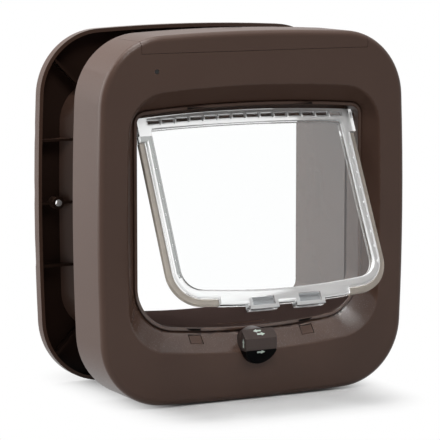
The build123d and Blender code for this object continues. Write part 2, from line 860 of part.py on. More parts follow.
# Lock cam: two rings whose half-round lobes rise before and behind the flap in turn
with BuildPart() as lock_cam:
    with BuildSketch(upright(depth(cam_front_depth))):
        with Locations((0, knob_z)):
            Circle(cam_hub_radius)
    extrude(amount=cam_back_y - depth(cam_front_depth), dir=BACK)
    for ring_depth, ring_width, lobe_start in ring_places:
        lobe_angle = lobe_start + (180 - cam_lobe_span) / 2
        with BuildSketch(upright(depth(ring_depth))):
            with Locations((0, knob_z)):
                Circle(cam_low_radius)
            with BuildLine():
                lobe = CenterArc((0, knob_z), cam_high_radius, lobe_angle, cam_lobe_span)
                Polyline(lobe @ 1, (0, knob_z), lobe @ 0)
            make_face()
        extrude(amount=ring_width, dir=BACK)
    with BuildSketch(upright(depth(cam_front_depth))):
        with Locations((0, knob_z)):
            Circle(shaft_radius)
    extrude(amount=cam_back_y - depth(cam_front_depth), dir=BACK, mode=Mode.SUBTRACT)
finish(lock_cam, "lock_cam")

with BuildPart() as knob_screw:
    with BuildSketch(upright(cam_back_y)):
        with Locations((0, knob_z)):
            Circle(knob_screw_head_radius)
    extrude(amount=knob_screw_head, dir=BACK)
    with BuildSketch(upright(cam_back_y)):
        with Locations((0, knob_z)):
            Circle(knob_screw_radius)
    extrude(amount=-knob_screw_length, dir=BACK)
finish(knob_screw, "knob_screw")

# Latch bar: two lugs flush with the dish, a cross bar behind the cam and a rack at its right end
tooth_half = tooth_pitch / 4 - tooth_backlash / 2
tooth_root = tooth_half + tooth_dedendum * tan(radians(tooth_flank_angle))
tooth_tip = tooth_half - tooth_addendum * tan(radians(tooth_flank_angle))
rack_top_z = rise(latch_top_rise)
rack_bottom_z = rise(rack_bottom_rise)
rack_tooth_levels = [
    pinion_z - (index + 0.5) * tooth_pitch
    for index in range(
        -int((rack_top_z - pinion_z) / tooth_pitch),
        int((pinion_z - rack_bottom_z - tooth_root) / tooth_pitch + 0.5),
    )
]
with BuildPart() as latch_bar:
    with BuildSketch(Plane.XY.offset(rack_top_z)):
        with Locations(*[(side * lug_x, depth(lug_centre_depth)) for side in (-1, 1)]):
            Rectangle(lug_width, lug_thickness)
    extrude(amount=rise(opening_bottom) - rack_top_z)
    add(dish_space.part, mode=Mode.SUBTRACT)
    with BuildSketch(Plane.XY.offset(rack_top_z)):
        with Locations(*[(side * lug_x, depth(lug_front_depth)) for side in (-1, 1)]):
            Rectangle(
                lug_width,
                latch_bar_depth + latch_bar_thickness - lug_front_depth,
                align=(Align.CENTER, Align.MIN),
            )
        with Locations((-lug_x, depth(latch_bar_depth))):
            Rectangle(lug_x + rack_root_x, latch_bar_thickness, align=(Align.MIN, Align.MIN))
    extrude(amount=-latch_bar_height)
    with BuildSketch(upright(depth(latch_bar_depth))):
        with Locations((rack_back_x, rack_top_z)):
            Rectangle(rack_root_x - rack_back_x, rack_top_z - rack_bottom_z, align=(Align.MIN, Align.MAX))
        with Locations(*[(rack_pitch_x, level) for level in rack_tooth_levels]):
            Polygon(
                (-tooth_dedendum, -tooth_root),
                (tooth_addendum, -tooth_tip),
                (tooth_addendum, tooth_tip),
                (-tooth_dedendum, tooth_root),
                align=None,
            )
    extrude(amount=latch_bar_thickness, dir=BACK)
finish(latch_bar, "latch_bar")

# Latch pinion on the motor's shaft
with BuildPart() as latch_pinion:
    with BuildSketch(upright(depth(latch_bar_depth))):
        with Locations((pinion_x, pinion_z)):
            Circle(pitch_radius - tooth_dedendum)
            with PolarLocations(0, pinion_teeth, start_angle=180):
                Polygon(
                    (0, -tooth_root),
                    (pitch_radius - tooth_dedendum, -tooth_root),
                    (pitch_radius + tooth_addendum, -tooth_tip),
                    (pitch_radius + tooth_addendum, tooth_tip),
                    (pitch_radius - tooth_dedendum, tooth_root),
                    (0, tooth_root),
                    align=None,
                )
    extrude(amount=latch_bar_thickness, dir=BACK)
    with BuildSketch(upright(depth(latch_bar_depth))):
        with Locations((pinion_x, pinion_z)):
            Circle(motor_shaft_radius)
    extrude(amount=-(pinion_gap + motor_nose_length + motor_shaft_engagement), dir=BACK)
finish(latch_pinion, "latch_pinion")

# Latch motor: gear motor lying in the housing's cradle, with a bored nose for the pinion's shaft
with BuildPart() as latch_motor:
    motor_back_y = depth(motor_back_depth)
    with BuildSketch(upright(motor_back_y)):
        with Locations((pinion_x, pinion_z)):
            Rectangle(motor_width, motor_height)
    extrude(amount=-motor_length, dir=BACK)
    fillet(edges().filter_by(Axis.Y), motor_nose_radius)
    with BuildSketch(upright(motor_back_y)):
        with Locations((pinion_x, pinion_z)):
            Circle(motor_nose_radius)
    extrude(amount=motor_nose_length, dir=BACK)
    with BuildSketch(upright(motor_back_y + motor_nose_length)):
        with Locations((pinion_x, pinion_z)):
            Circle(motor_shaft_radius + motor_shaft_gap)
    extrude(
        amount=-(motor_nose_length + motor_shaft_engagement + motor_shaft_gap), dir=BACK, mode=Mode.SUBTRACT
    )
finish(latch_motor, "latch_motor")

# Aerial coil wound round the tunnel sleeve, in front of the back cover
coil_outline = sleeve_outline.grown(sleeve_wall + coil_gap)
with BuildPart() as antenna_coil:
    coil_y = seat_front_y - coil_gap - coil_width
    extrude(coil_outline.grown(coil_thickness).face(upright(coil_y)), amount=coil_width, dir=BACK)
    extrude(coil_outline.face(upright(coil_y)), amount=coil_width, dir=BACK, mode=Mode.SUBTRACT)
finish(antenna_coil, "antenna_coil")

# Battery cover: the top front edge of the housing, lifted off by a finger notch at its back
with BuildPart() as battery_cover:
    add(housing_block.part)
    extrude(
        frame_outline.grown(-wall).face(upright(depth(face_wall))),
        amount=housing_depth,
        dir=BACK,
        mode=Mode.SUBTRACT,
    )
    with Locations((0, depth(-cut_margin), rise(cover_lower_rise))):
        Box(
            2 * cover_half_width,
            cover_depth + cut_margin,
            frame_height,
            align=(Align.CENTER, Align.MIN, Align.MIN),
            mode=Mode.INTERSECT,
        )
    with BuildSketch(Plane.XY.offset(frame_outline.top + cut_margin)):
        with Locations((0, depth(cover_depth))):
            SlotOverall(finger_notch_width, 2 * finger_notch_depth)
    extrude(amount=-(wall + 2 * cut_margin + frame_top_bow), mode=Mode.SUBTRACT)
finish(battery_cover, "battery_cover")

# Battery tray: open box for two rows of cells, with a deck on its left that holds the learn button
row_length = 2 * (cell_length + cell_nub_length) + contact_spring_length + 2 * contact_thickness
bay_right_x = tray_right_x - tray_wall
bay_left_x = bay_right_x - row_length
tray_left_x = bay_left_x - tray_wall
bay_width = 2 * cell_pitch
tray_front_y = depth(face_wall)
tray_width = bay_width + 2 * tray_wall
tray_floor_z = rise(tray_floor_rise)
deck_top_z = rise(deck_rise) + deck_thickness
cell_z = tray_floor_z + tray_wall + tray_gap + cell_radius
button_y = tray_front_y + tray_width / 2
board_top_z = rise(board_rise) + board_thickness
with BuildPart() as battery_tray:
    with Locations((tray_left_x, tray_front_y, tray_floor_z)):
        Box(
            tray_right_x - tray_left_x,
            tray_width,
            deck_top_z - tray_floor_z,
            align=(Align.MIN, Align.MIN, Align.MIN),
        )
    with Locations((bay_left_x, tray_front_y + tray_wall, tray_floor_z + tray_wall)):
        Box(row_length, bay_width, frame_height, align=(Align.MIN, Align.MIN, Align.MIN), mode=Mode.SUBTRACT)
    with Locations((deck_left_x, tray_front_y, rise(deck_rise))):
        Box(
            tray_left_x - deck_left_x,
            tray_width,
            deck_thickness,
            align=(Align.MIN, Align.MIN, Align.MIN),
        )
    with BuildSketch(Plane.XY.offset(board_top_z)):
        for x in (deck_left_x + board_margin, tray_left_x - board_margin - post_size):
            with Locations((x, tray_front_y + tray_width - board_margin - post_size)):
                Rectangle(post_size, post_size, align=(Align.MIN, Align.MIN))
    extrude(amount=rise(deck_rise) - board_top_z)
    with BuildSketch(Plane.XY.offset(rise(deck_rise))):
        with Locations((button_x, button_y)):
            Circle(button_radius + button_gap)
    extrude(amount=deck_thickness, mode=Mode.SUBTRACT)
finish(battery_tray, "battery_tray")

# Cells: two rows of two, the rows lying opposite ways, with a spring contact at each row's flat end
cell_rows = [
    (tray_front_y + tray_wall + cell_pitch / 2, 1, bay_left_x + contact_thickness + contact_spring_length),
    (
        tray_front_y + tray_wall + 3 * cell_pitch / 2,
        -1,
        bay_right_x - contact_thickness - contact_spring_length,
    ),
]
cell_number = 0
for row_y, way, row_start in cell_rows:
    for place in range(2):
        cell_number += 1
        base_x = row_start + way * place * (cell_length + cell_nub_length)
        with BuildPart() as battery_cell:
            with BuildSketch(Plane.YZ.offset(base_x)):
                with Locations((row_y, cell_z)):
                    Circle(cell_radius)
            extrude(amount=cell_length, dir=(way, 0, 0))
            with BuildSketch(Plane.YZ.offset(base_x + way * cell_length)):
                with Locations((row_y, cell_z)):
                    Circle(cell_nub_radius)
            extrude(amount=cell_nub_length, dir=(way, 0, 0))
        finish(battery_cell, f"battery_cell_{cell_number}")

with BuildPart() as battery_contacts:
    for row_y, way, row_start in cell_rows:
        for end_x, inward in ((bay_left_x, 1), (bay_right_x, -1)):
            with BuildSketch(Plane.YZ.offset(end_x)):
                with Locations((row_y, cell_z)):
                    Rectangle(2 * cell_radius - contact_thickness, 2 * cell_radius - contact_thickness)
            extrude(amount=contact_thickness, dir=(inward, 0, 0))
        spring_plane = Plane.YZ.offset(row_start - way * contact_spring_length)
        with BuildSketch(spring_plane):
            with Locations((row_y, cell_z)):
                Circle(contact_spring_radius)
        extrude(amount=contact_spring_length, dir=(way, 0, 0), taper=contact_spring_taper)
finish(battery_contacts, "battery_contacts")

# Circuit board under the deck, with the learn switch and the light behind the light pipe
light_z = rise(light_rise)
with BuildPart() as circuit_board:
    with Locations((deck_left_x, tray_front_y, rise(board_rise))):
        Box(
            tray_left_x - deck_left_x - cover_gap,
            tray_width,
            board_thickness,
            align=(Align.MIN, Align.MIN, Align.MIN),
        )
    with Locations((button_x, button_y, board_top_z)):
        Box(switch_size, switch_size, switch_height, align=(Align.CENTER, Align.CENTER, Align.MIN))
    with Locations((light_x, depth(light_length), board_top_z)):
        Box(
            light_chip_size,
            light_chip_size,
            light_z + light_chip_size / 2 - board_top_z,
            align=(Align.CENTER, Align.MIN, Align.MIN),
        )
finish(circuit_board, "circuit_board")

with BuildPart() as light_pipe:
    with BuildSketch(upright(depth(0))):
        with Locations((light_x, light_z)):
            Circle(light_radius)
    extrude(amount=light_length, dir=BACK)
finish(light_pipe, "light_pipe")

# Learn button: cap through the deck, kept in by its flange, standing on the switch
flange_top_z = rise(deck_rise) - button_stop_gap
switch_top_z = board_top_z + switch_height
with BuildPart() as learn_button:
    with BuildSketch(Plane.XY.offset(flange_top_z - button_flange_thickness)):
        with Locations((button_x, button_y)):
            Circle(button_flange_radius)
    extrude(amount=button_flange_thickness)
    with BuildSketch(Plane.XY.offset(flange_top_z)):
        with Locations((button_x, button_y)):
            Circle(button_radius)
    extrude(amount=deck_top_z + button_proud - flange_top_z)
    fillet(faces().sort_by(Axis.Z)[-1].edges(), button_proud / 4)
    with BuildSketch(Plane.XY.offset(switch_top_z + button_travel + button_stop_gap)):
        with Locations((button_x, button_y)):
            Circle(button_radius / 2)
    extrude(until=Until.NEXT)
finish(learn_button, "learn_button")
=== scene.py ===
import logging
from dataclasses import dataclass, field
from enum import Enum
from math import cos, pi, radians, sin
from typing import Any, Callable

import bmesh
import bpy
from mathutils import Euler, Matrix, Vector

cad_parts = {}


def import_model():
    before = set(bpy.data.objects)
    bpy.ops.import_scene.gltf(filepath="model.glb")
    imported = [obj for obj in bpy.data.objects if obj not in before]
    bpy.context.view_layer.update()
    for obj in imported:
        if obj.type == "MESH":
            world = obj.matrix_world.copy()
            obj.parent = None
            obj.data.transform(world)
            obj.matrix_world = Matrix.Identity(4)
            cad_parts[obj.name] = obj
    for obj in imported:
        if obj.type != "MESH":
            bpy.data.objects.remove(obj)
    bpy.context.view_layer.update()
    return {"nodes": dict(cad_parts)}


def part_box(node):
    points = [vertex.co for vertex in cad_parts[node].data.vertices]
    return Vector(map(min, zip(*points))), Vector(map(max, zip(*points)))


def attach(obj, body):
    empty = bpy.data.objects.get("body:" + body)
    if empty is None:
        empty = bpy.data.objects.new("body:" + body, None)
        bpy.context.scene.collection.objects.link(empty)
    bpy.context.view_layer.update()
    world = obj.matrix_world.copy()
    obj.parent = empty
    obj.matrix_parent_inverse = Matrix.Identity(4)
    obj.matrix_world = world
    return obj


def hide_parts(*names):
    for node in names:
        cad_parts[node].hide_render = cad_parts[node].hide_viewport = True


# Cat flap for a door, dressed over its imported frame: a brown moulded housing and outside frame, a clear
# swinging flap in a tunnel, a four-way lock knob, a motor latch in the sill and a battery bay along the top.
# Metres, in the frame's own axes: +X right seen from the room, +Y out through the door, +Z up.

log = logging.getLogger("cat_flap")
MM = 0.001

# A face looks mostly along an axis where that part of its normal is above this.
MOSTLY = 0.5

# The middle of a noise pattern's range, where most of its values lie.
NOISE_SPAN = (0.3, 0.7)

# Height above which a face is on the top of the housing, in millimetres.
TOP_LEVEL = 100.0

# Sockets of a Mix node that mixes colours, by number because their names repeat.
MIX_SHARE, MIX_FIRST, MIX_SECOND, MIX_RESULT = 0, 6, 7, 2

# Says from a face's middle, in millimetres, and its normal if the face takes a finish.
FacePick = Callable[[Vector, Vector], bool]


class Body(Enum):
    """The moving bodies of the cat flap."""

    FRAME = "frame"
    OUTSIDE = "outside"
    FLAP = "flap"
    LOCK = "lock"
    LATCH = "latch"
    PINION = "pinion"
    COVER = "cover"
    BUTTON = "button"


class Slot(Enum):
    """The material slots that the finishes stand for."""

    BROWN_ABS = "brown_abs"
    KNOB_ABS = "knob_abs"
    BLACK_ABS = "black_abs"
    BLACK_ACETAL = "black_acetal"
    WHITE_ACETAL = "white_acetal"
    CLEAR_POLYCARBONATE = "clear_polycarbonate"
    SEAL_ELASTOMER = "seal_elastomer"
    MAGNET_FERRITE = "magnet_ferrite"
    SCREW_STEEL = "screw_steel"
    MOTOR_STEEL = "motor_steel"
    CONTACT_STEEL = "contact_steel"
    COIL_COPPER = "coil_copper"
    CELL_SLEEVE = "cell_sleeve"
    BOARD_LAMINATE = "board_laminate"
    LIGHT_ACRYLIC = "light_acrylic"
    BUTTON_ABS = "button_abs"


def linear(hex_colour: str) -> tuple[float, float, float, float]:
    """Turns an sRGB hex colour into linear light.

    Args:
        hex_colour: The colour as "#rrggbb".

    Returns:
        Linear red, green, blue and an alpha of 1.
    """
    steps = [int(hex_colour[i:i + 2], 16) / 255 for i in (1, 3, 5)]
    light = [s / 12.92 if s <= 0.04045 else ((s + 0.055) / 1.055) ** 2.4 for s in steps]
    return light[0], light[1], light[2], 1.0


def per_mm(size: float) -> float:
    """Returns the texture scale whose features are about this many millimetres across."""
    return 1.0 / (size * MM)


def add_node(tree: bpy.types.NodeTree, kind: str, feeds: dict[str | int, Any] | None = None,
             **settings: Any) -> bpy.types.Node:
    """Adds one node to a tree, sets it up and feeds its inputs.

    Args:
        tree: The shader or geometry tree.
        kind: The node's type name.
        feeds: Values or output sockets by input name or index.
        **settings: The node's own properties.

    Returns:
        The new node.
    """
    node = tree.nodes.new(kind)
    for name, value in settings.items():
        setattr(node, name, value)
    for socket, value in (feeds or {}).items():
        if isinstance(value, bpy.types.NodeSocket):
            tree.links.new(value, node.inputs[socket])
        else:
            node.inputs[socket].default_value = value
    return node


@dataclass(frozen=True)
class Finish:
    """A named surface finish that makes its own material.

    Attributes:
        name: The material's name.
        slot: The material slot that it stands for; not used.
    """

    name: str
    slot: Slot

    def wire(self, tree: bpy.types.NodeTree, shader: bpy.types.Node) -> None:
        """Sets the shader's sockets; each finish has its own way.

        Args:
            tree: The material's node tree.
            shader: The Principled shader to feed.
        """
        raise NotImplementedError

    def material(self) -> bpy.types.Material:
        """Gives the finish's material, made on first use.

        Returns:
            The material, shared by every piece of this finish.
        """
        found = bpy.data.materials.get(self.name)
        if found is not None:
            return found
        made = bpy.data.materials.new(self.name)
        made.use_nodes = True
        tree = made.node_tree
        tree.nodes.clear()
        shader = add_node(tree, "ShaderNodeBsdfPrincipled")
        add_node(tree, "ShaderNodeOutputMaterial", {"Surface": shader.outputs["BSDF"]})
        self.wire(tree, shader)
        return made


@dataclass(frozen=True)
class MouldedPlastic(Finish):
    """Injection moulded ABS or acetal.

    The tool is spark eroded, so the skin is a fine even stipple that spreads highlights into a satin sheen; a
    slow cloudiness in the pigment keeps large faces from looking flat.

    Attributes:
        shade: The pigment's colour.
        cloud_shade: The colour that the slow cloudiness leans to.
        rough_low: Roughness where the stipple is flattest.
        rough_high: Roughness where the stipple is deepest.
        grain_mm: Size of the stipple.
        grain_depth_mm: Height of the stipple.
        cloud_mm: Size of the cloudiness.
        ior: Refractive index, which sets the strength of the sheen.
        specular: Specular level of the sheen.
        bump: Share of the stipple that the light picks out.
    """

    shade: str = "#443129"
    cloud_shade: str = "#49372e"
    rough_low: float = 0.28
    rough_high: float = 0.36
    grain_mm: float = 0.7
    grain_depth_mm: float = 0.02
    cloud_mm: float = 45.0
    ior: float = 1.53
    specular: float = 0.2
    bump: float = 0.35

    def wire(self, tree: bpy.types.NodeTree, shader: bpy.types.Node) -> None:
        """Feeds the shader with pigment, stipple and sheen.

        Args:
            tree: The material's node tree.
            shader: The Principled shader to feed.
        """
        place = add_node(tree, "ShaderNodeTexCoord").outputs["Object"]
        cloud = add_node(tree, "ShaderNodeTexNoise",
                         {"Vector": place, "Scale": per_mm(self.cloud_mm), "Detail": 2.0})
        pigment = add_node(tree, "ShaderNodeMix",
                           {MIX_SHARE: cloud.outputs["Fac"], MIX_FIRST: linear(self.shade),
                            MIX_SECOND: linear(self.cloud_shade)},
                           data_type="RGBA")
        # The real stipple is about 0.1 mm; it is drawn coarser here so that it shows at all.
        grain = add_node(tree, "ShaderNodeTexNoise",
                         {"Vector": place, "Scale": per_mm(self.grain_mm), "Detail": 1.0, "Roughness": 0.4})
        rough = add_node(tree, "ShaderNodeMapRange",
                         {"Value": grain.outputs["Fac"], "From Min": NOISE_SPAN[0], "From Max": NOISE_SPAN[1],
                          "To Min": self.rough_low, "To Max": self.rough_high})
        bump = add_node(tree, "ShaderNodeBump",
                        {"Height": grain.outputs["Fac"], "Strength": self.bump,
                         "Distance": self.grain_depth_mm * MM})
        tree.links.new(pigment.outputs[MIX_RESULT], shader.inputs["Base Color"])
        tree.links.new(rough.outputs["Result"], shader.inputs["Roughness"])
        tree.links.new(bump.outputs["Normal"], shader.inputs["Normal"])
        shader.inputs["IOR"].default_value = self.ior
        shader.inputs["Specular IOR Level"].default_value = self.specular


@dataclass(frozen=True)
class ClearPlastic(Finish):
    """Clear moulded polycarbonate or acrylic.

    Polished tool faces leave it as clear as glass, with edges that turn dark and bright by turns, a slow
    ripple where the melt flowed, and faint scuffs that soften the reflections.

    Attributes:
        shade: The tint of the plastic.
        ior: Refractive index.
        rough_low: Roughness of the clean polish.
        rough_high: Roughness in the scuffs.
        ripple_mm: Length of the flow ripple.
        ripple_depth_mm: Height of the flow ripple.
        scuff_mm: Size of the scuffs.
        clear: Share of light that goes through; the rest lights up milky in the plastic.
        scuff_span: Range of the pattern over which a scuff deepens.
        bump: Share of the ripple that the light picks out.
    """

    shade: str = "#fdfefe"
    ior: float = 1.585
    rough_low: float = 0.0
    rough_high: float = 0.04
    ripple_mm: float = 35.0
    ripple_depth_mm: float = 0.004
    scuff_mm: float = 6.0
    clear: float = 1.0
    scuff_span: tuple[float, float] = (0.45, 0.75)
    bump: float = 0.5

    def wire(self, tree: bpy.types.NodeTree, shader: bpy.types.Node) -> None:
        """Feeds the shader with clear body, ripple and scuffs.

        Args:
            tree: The material's node tree.
            shader: The Principled shader to feed.
        """
        place = add_node(tree, "ShaderNodeTexCoord").outputs["Object"]
        ripple = add_node(tree, "ShaderNodeTexNoise",
                          {"Vector": place, "Scale": per_mm(self.ripple_mm), "Detail": 0.0})
        bump = add_node(tree, "ShaderNodeBump",
                        {"Height": ripple.outputs["Fac"], "Strength": self.bump,
                         "Distance": self.ripple_depth_mm * MM})
        scuff = add_node(tree, "ShaderNodeTexNoise",
                         {"Vector": place, "Scale": per_mm(self.scuff_mm), "Detail": 4.0})
        rough = add_node(tree, "ShaderNodeMapRange",
                         {"Value": scuff.outputs["Fac"],
                          "From Min": self.scuff_span[0], "From Max": self.scuff_span[1],
                          "To Min": self.rough_low, "To Max": self.rough_high})
        tree.links.new(rough.outputs["Result"], shader.inputs["Roughness"])
        tree.links.new(bump.outputs["Normal"], shader.inputs["Normal"])
        shader.inputs["Base Color"].default_value = linear(self.shade)
        shader.inputs["Transmission Weight"].default_value = self.clear
        shader.inputs["IOR"].default_value = self.ior


@dataclass(frozen=True)
class Elastomer(Finish):
    """Soft translucent sealing elastomer.

    It is cloudy and a little waxy: light soaks in and comes back grey-brown, with a dull sheen along its
    edges and a dusting of lint that it picks up.

    Attributes:
        shade: Colour of the clean elastomer.
        dust_shade: Colour where lint has settled.
        dust_mm: Size of the dusty patches.
        see_through: Share of light that passes.
        roughness: Roughness of the skin.
        pore_mm: Size of the skin's fine unevenness.
        pore_depth_mm: Height of that unevenness.
        bump: Share of it that the light picks out.
        ior: Refractive index.
    """

    shade: str = "#bdb5ab"
    dust_shade: str = "#a89f95"
    dust_mm: float = 5.0
    see_through: float = 0.6
    roughness: float = 0.42
    pore_mm: float = 1.2
    pore_depth_mm: float = 0.05
    bump: float = 0.2
    ior: float = 1.45

    def wire(self, tree: bpy.types.NodeTree, shader: bpy.types.Node) -> None:
        """Feeds the shader with a cloudy body and a dull skin.

        Args:
            tree: The material's node tree.
            shader: The Principled shader to feed.
        """
        place = add_node(tree, "ShaderNodeTexCoord").outputs["Object"]
        dust = add_node(tree, "ShaderNodeTexNoise",
                        {"Vector": place, "Scale": per_mm(self.dust_mm), "Detail": 3.0})
        body = add_node(tree, "ShaderNodeMix",
                        {MIX_SHARE: dust.outputs["Fac"], MIX_FIRST: linear(self.shade),
                         MIX_SECOND: linear(self.dust_shade)},
                        data_type="RGBA")
        pores = add_node(tree, "ShaderNodeTexNoise", {"Vector": place, "Scale": per_mm(self.pore_mm)})
        bump = add_node(tree, "ShaderNodeBump",
                        {"Height": pores.outputs["Fac"], "Strength": self.bump,
                         "Distance": self.pore_depth_mm * MM})
        tree.links.new(body.outputs[MIX_RESULT], shader.inputs["Base Color"])
        tree.links.new(bump.outputs["Normal"], shader.inputs["Normal"])
        shader.inputs["Roughness"].default_value = self.roughness
        shader.inputs["IOR"].default_value = self.ior
        shader.inputs["Transmission Weight"].default_value = self.see_through


@dataclass(frozen=True)
class PlatedMetal(Finish):
    """Zinc or nickel plated steel and plated magnets.

    Plating follows the drawn or rolled surface under it, so the eye sees short fine streaks along the piece
    and soft cloudy differences in shine.

    Attributes:
        shade: Colour of the plating.
        dull_shade: Colour where the plating has dulled.
        rough_low: Roughness of the bright plating.
        rough_high: Roughness of the dulled plating.
        streak_mm: Width of the drawing streaks.
        streak_stretch: Share of the pattern's scale along each axis; a small share makes long streaks.
        streak_depth_mm: Height of the streaks.
        bump: Share of the streaks that the light picks out.
    """

    shade: str = "#b4b6b8"
    dull_shade: str = "#8f9194"
    rough_low: float = 0.22
    rough_high: float = 0.42
    streak_mm: float = 0.5
    streak_stretch: tuple[float, float, float] = (0.08, 1.0, 1.0)
    streak_depth_mm: float = 0.01
    bump: float = 0.15

    def wire(self, tree: bpy.types.NodeTree, shader: bpy.types.Node) -> None:
        """Feeds the shader with plating colour, streaks and shine.

        Args:
            tree: The material's node tree.
            shader: The Principled shader to feed.
        """
        place = add_node(tree, "ShaderNodeTexCoord").outputs["Object"]
        drawn = add_node(tree, "ShaderNodeMapping", {"Vector": place, "Scale": self.streak_stretch})
        # Drawing streaks are a few hundredths of a millimetre wide; they are drawn coarser so that they show.
        streak = add_node(tree, "ShaderNodeTexNoise",
                          {"Vector": drawn.outputs["Vector"], "Scale": per_mm(self.streak_mm), "Detail": 2.0})
        tone = add_node(tree, "ShaderNodeMix",
                        {MIX_SHARE: streak.outputs["Fac"], MIX_FIRST: linear(self.shade),
                         MIX_SECOND: linear(self.dull_shade)},
                        data_type="RGBA")
        rough = add_node(tree, "ShaderNodeMapRange",
                         {"Value": streak.outputs["Fac"],
                          "From Min": NOISE_SPAN[0], "From Max": NOISE_SPAN[1],
                          "To Min": self.rough_low, "To Max": self.rough_high})
        bump = add_node(tree, "ShaderNodeBump",
                        {"Height": streak.outputs["Fac"], "Strength": self.bump,
                         "Distance": self.streak_depth_mm * MM})
        tree.links.new(tone.outputs[MIX_RESULT], shader.inputs["Base Color"])
        tree.links.new(rough.outputs["Result"], shader.inputs["Roughness"])
        tree.links.new(bump.outputs["Normal"], shader.inputs["Normal"])
        shader.inputs["Metallic"].default_value = 1.0


@dataclass(frozen=True)
class WoundCopper(Finish):
    """Enamelled copper wire, wound side by side into a flat band.

    The eye sees close parallel ridges with a warm clear-coated glint along each turn.

    Attributes:
        shade: Colour of the enamelled wire.
        groove_painted_shade: Painted shade down between the turns.
        turn_mm: Spacing of the turns.
        turn_depth_mm: Depth of the grooves between them.
        bump: Share of the grooves that the light picks out.
        roughness: Roughness of the wire.
        coat: Weight of the clear enamel.
    """

    shade: str = "#b0683a"
    groove_painted_shade: str = "#5e3018"
    turn_mm: float = 0.6
    turn_depth_mm: float = 0.2
    bump: float = 0.8
    roughness: float = 0.3
    coat: float = 0.6

    def wire(self, tree: bpy.types.NodeTree, shader: bpy.types.Node) -> None:
        """Feeds the shader with the ridges of the winding.

        Args:
            tree: The material's node tree.
            shader: The Principled shader to feed.
        """
        place = add_node(tree, "ShaderNodeTexCoord").outputs["Object"]
        # One ridge for each turn across the band; a wave of scale 1 repeats every 2 pi / 20 of a unit.
        turns = add_node(tree, "ShaderNodeTexWave",
                         {"Vector": place, "Scale": per_mm(self.turn_mm) * pi / 10, "Distortion": 0.0},
                         wave_type="BANDS", bands_direction="Y", wave_profile="SIN")
        # Painted shade: the colour turns dark down between the turns.
        tone = add_node(tree, "ShaderNodeMix",
                        {MIX_SHARE: turns.outputs["Fac"], MIX_FIRST: linear(self.groove_painted_shade),
                         MIX_SECOND: linear(self.shade)},
                        data_type="RGBA")
        bump = add_node(tree, "ShaderNodeBump",
                        {"Height": turns.outputs["Fac"], "Strength": self.bump,
                         "Distance": self.turn_depth_mm * MM})
        tree.links.new(tone.outputs[MIX_RESULT], shader.inputs["Base Color"])
        tree.links.new(bump.outputs["Normal"], shader.inputs["Normal"])
        shader.inputs["Metallic"].default_value = 1.0
        shader.inputs["Roughness"].default_value = self.roughness
        shader.inputs["Coat Weight"].default_value = self.coat


@dataclass(frozen=True)
class FoilSleeve(Finish):
    """Shrunk foil sleeve of a dry cell.

    A dark lacquered foil over the steel can, with a faint metallic flake and a glossy clear coat.

    Attributes:
        shade: Colour of the lacquer.
        flake_shade: Colour of the flake under it.
        flake_mm: Size of the flake.
        metallic: How much the foil shines through as metal.
        roughness: Roughness of the lacquer.
        coat: Weight of the clear coat.
        coat_roughness: Roughness of the clear coat.
    """

    shade: str = "#23262b"
    flake_shade: str = "#3d4249"
    flake_mm: float = 0.5
    metallic: float = 0.55
    roughness: float = 0.34
    coat: float = 0.8
    coat_roughness: float = 0.08

    def wire(self, tree: bpy.types.NodeTree, shader: bpy.types.Node) -> None:
        """Feeds the shader with lacquer, flake and clear coat.

        Args:
            tree: The material's node tree.
            shader: The Principled shader to feed.
        """
        place = add_node(tree, "ShaderNodeTexCoord").outputs["Object"]
        # Flake is far finer than this in a real lacquer; it is drawn coarser so that it shows.
        flake = add_node(tree, "ShaderNodeTexVoronoi", {"Vector": place, "Scale": per_mm(self.flake_mm)})
        tone = add_node(tree, "ShaderNodeMix",
                        {MIX_SHARE: flake.outputs["Distance"], MIX_FIRST: linear(self.shade),
                         MIX_SECOND: linear(self.flake_shade)},
                        data_type="RGBA")
        tree.links.new(tone.outputs[MIX_RESULT], shader.inputs["Base Color"])
        shader.inputs["Metallic"].default_value = self.metallic
        shader.inputs["Roughness"].default_value = self.roughness
        shader.inputs["Coat Weight"].default_value = self.coat
        shader.inputs["Coat Roughness"].default_value = self.coat_roughness


@dataclass(frozen=True)
class SolderMask(Finish):
    """Glass fibre laminate under green solder mask.

    Copper tracks lift the mask a little and show through as paler lines on a regular grid.

    Attributes:
        shade: Colour of the mask over bare laminate.
        track_shade: Colour of the mask over copper.
        track_mm: Spacing of the tracks.
        track_width_mm: Width of a track.
        track_length_mm: Length of a track between two cross tracks.
        track_height_mm: How far a track lifts the mask.
        bump: Share of that step that the light picks out.
        roughness: Roughness of the mask.
    """

    shade: str = "#0e3d20"
    track_shade: str = "#1d5a33"
    track_mm: float = 2.5
    track_width_mm: float = 0.3
    track_length_mm: float = 15.0
    track_height_mm: float = 0.05
    bump: float = 0.4
    roughness: float = 0.3

    def wire(self, tree: bpy.types.NodeTree, shader: bpy.types.Node) -> None:
        """Feeds the shader with mask and tracks.

        Args:
            tree: The material's node tree.
            shader: The Principled shader to feed.
        """
        place = add_node(tree, "ShaderNodeTexCoord").outputs["Object"]
        tracks = add_node(tree, "ShaderNodeTexBrick",
                          {"Vector": place, "Color1": linear(self.shade), "Color2": linear(self.shade),
                           "Mortar": linear(self.track_shade), "Scale": 1.0,
                           "Mortar Size": self.track_width_mm * MM,
                           "Brick Width": self.track_length_mm * MM, "Row Height": self.track_mm * MM})
        bump = add_node(tree, "ShaderNodeBump",
                        {"Height": tracks.outputs["Fac"], "Strength": self.bump,
                         "Distance": self.track_height_mm * MM})
        tree.links.new(tracks.outputs["Color"], shader.inputs["Base Color"])
        tree.links.new(bump.outputs["Normal"], shader.inputs["Normal"])
        shader.inputs["Roughness"].default_value = self.roughness


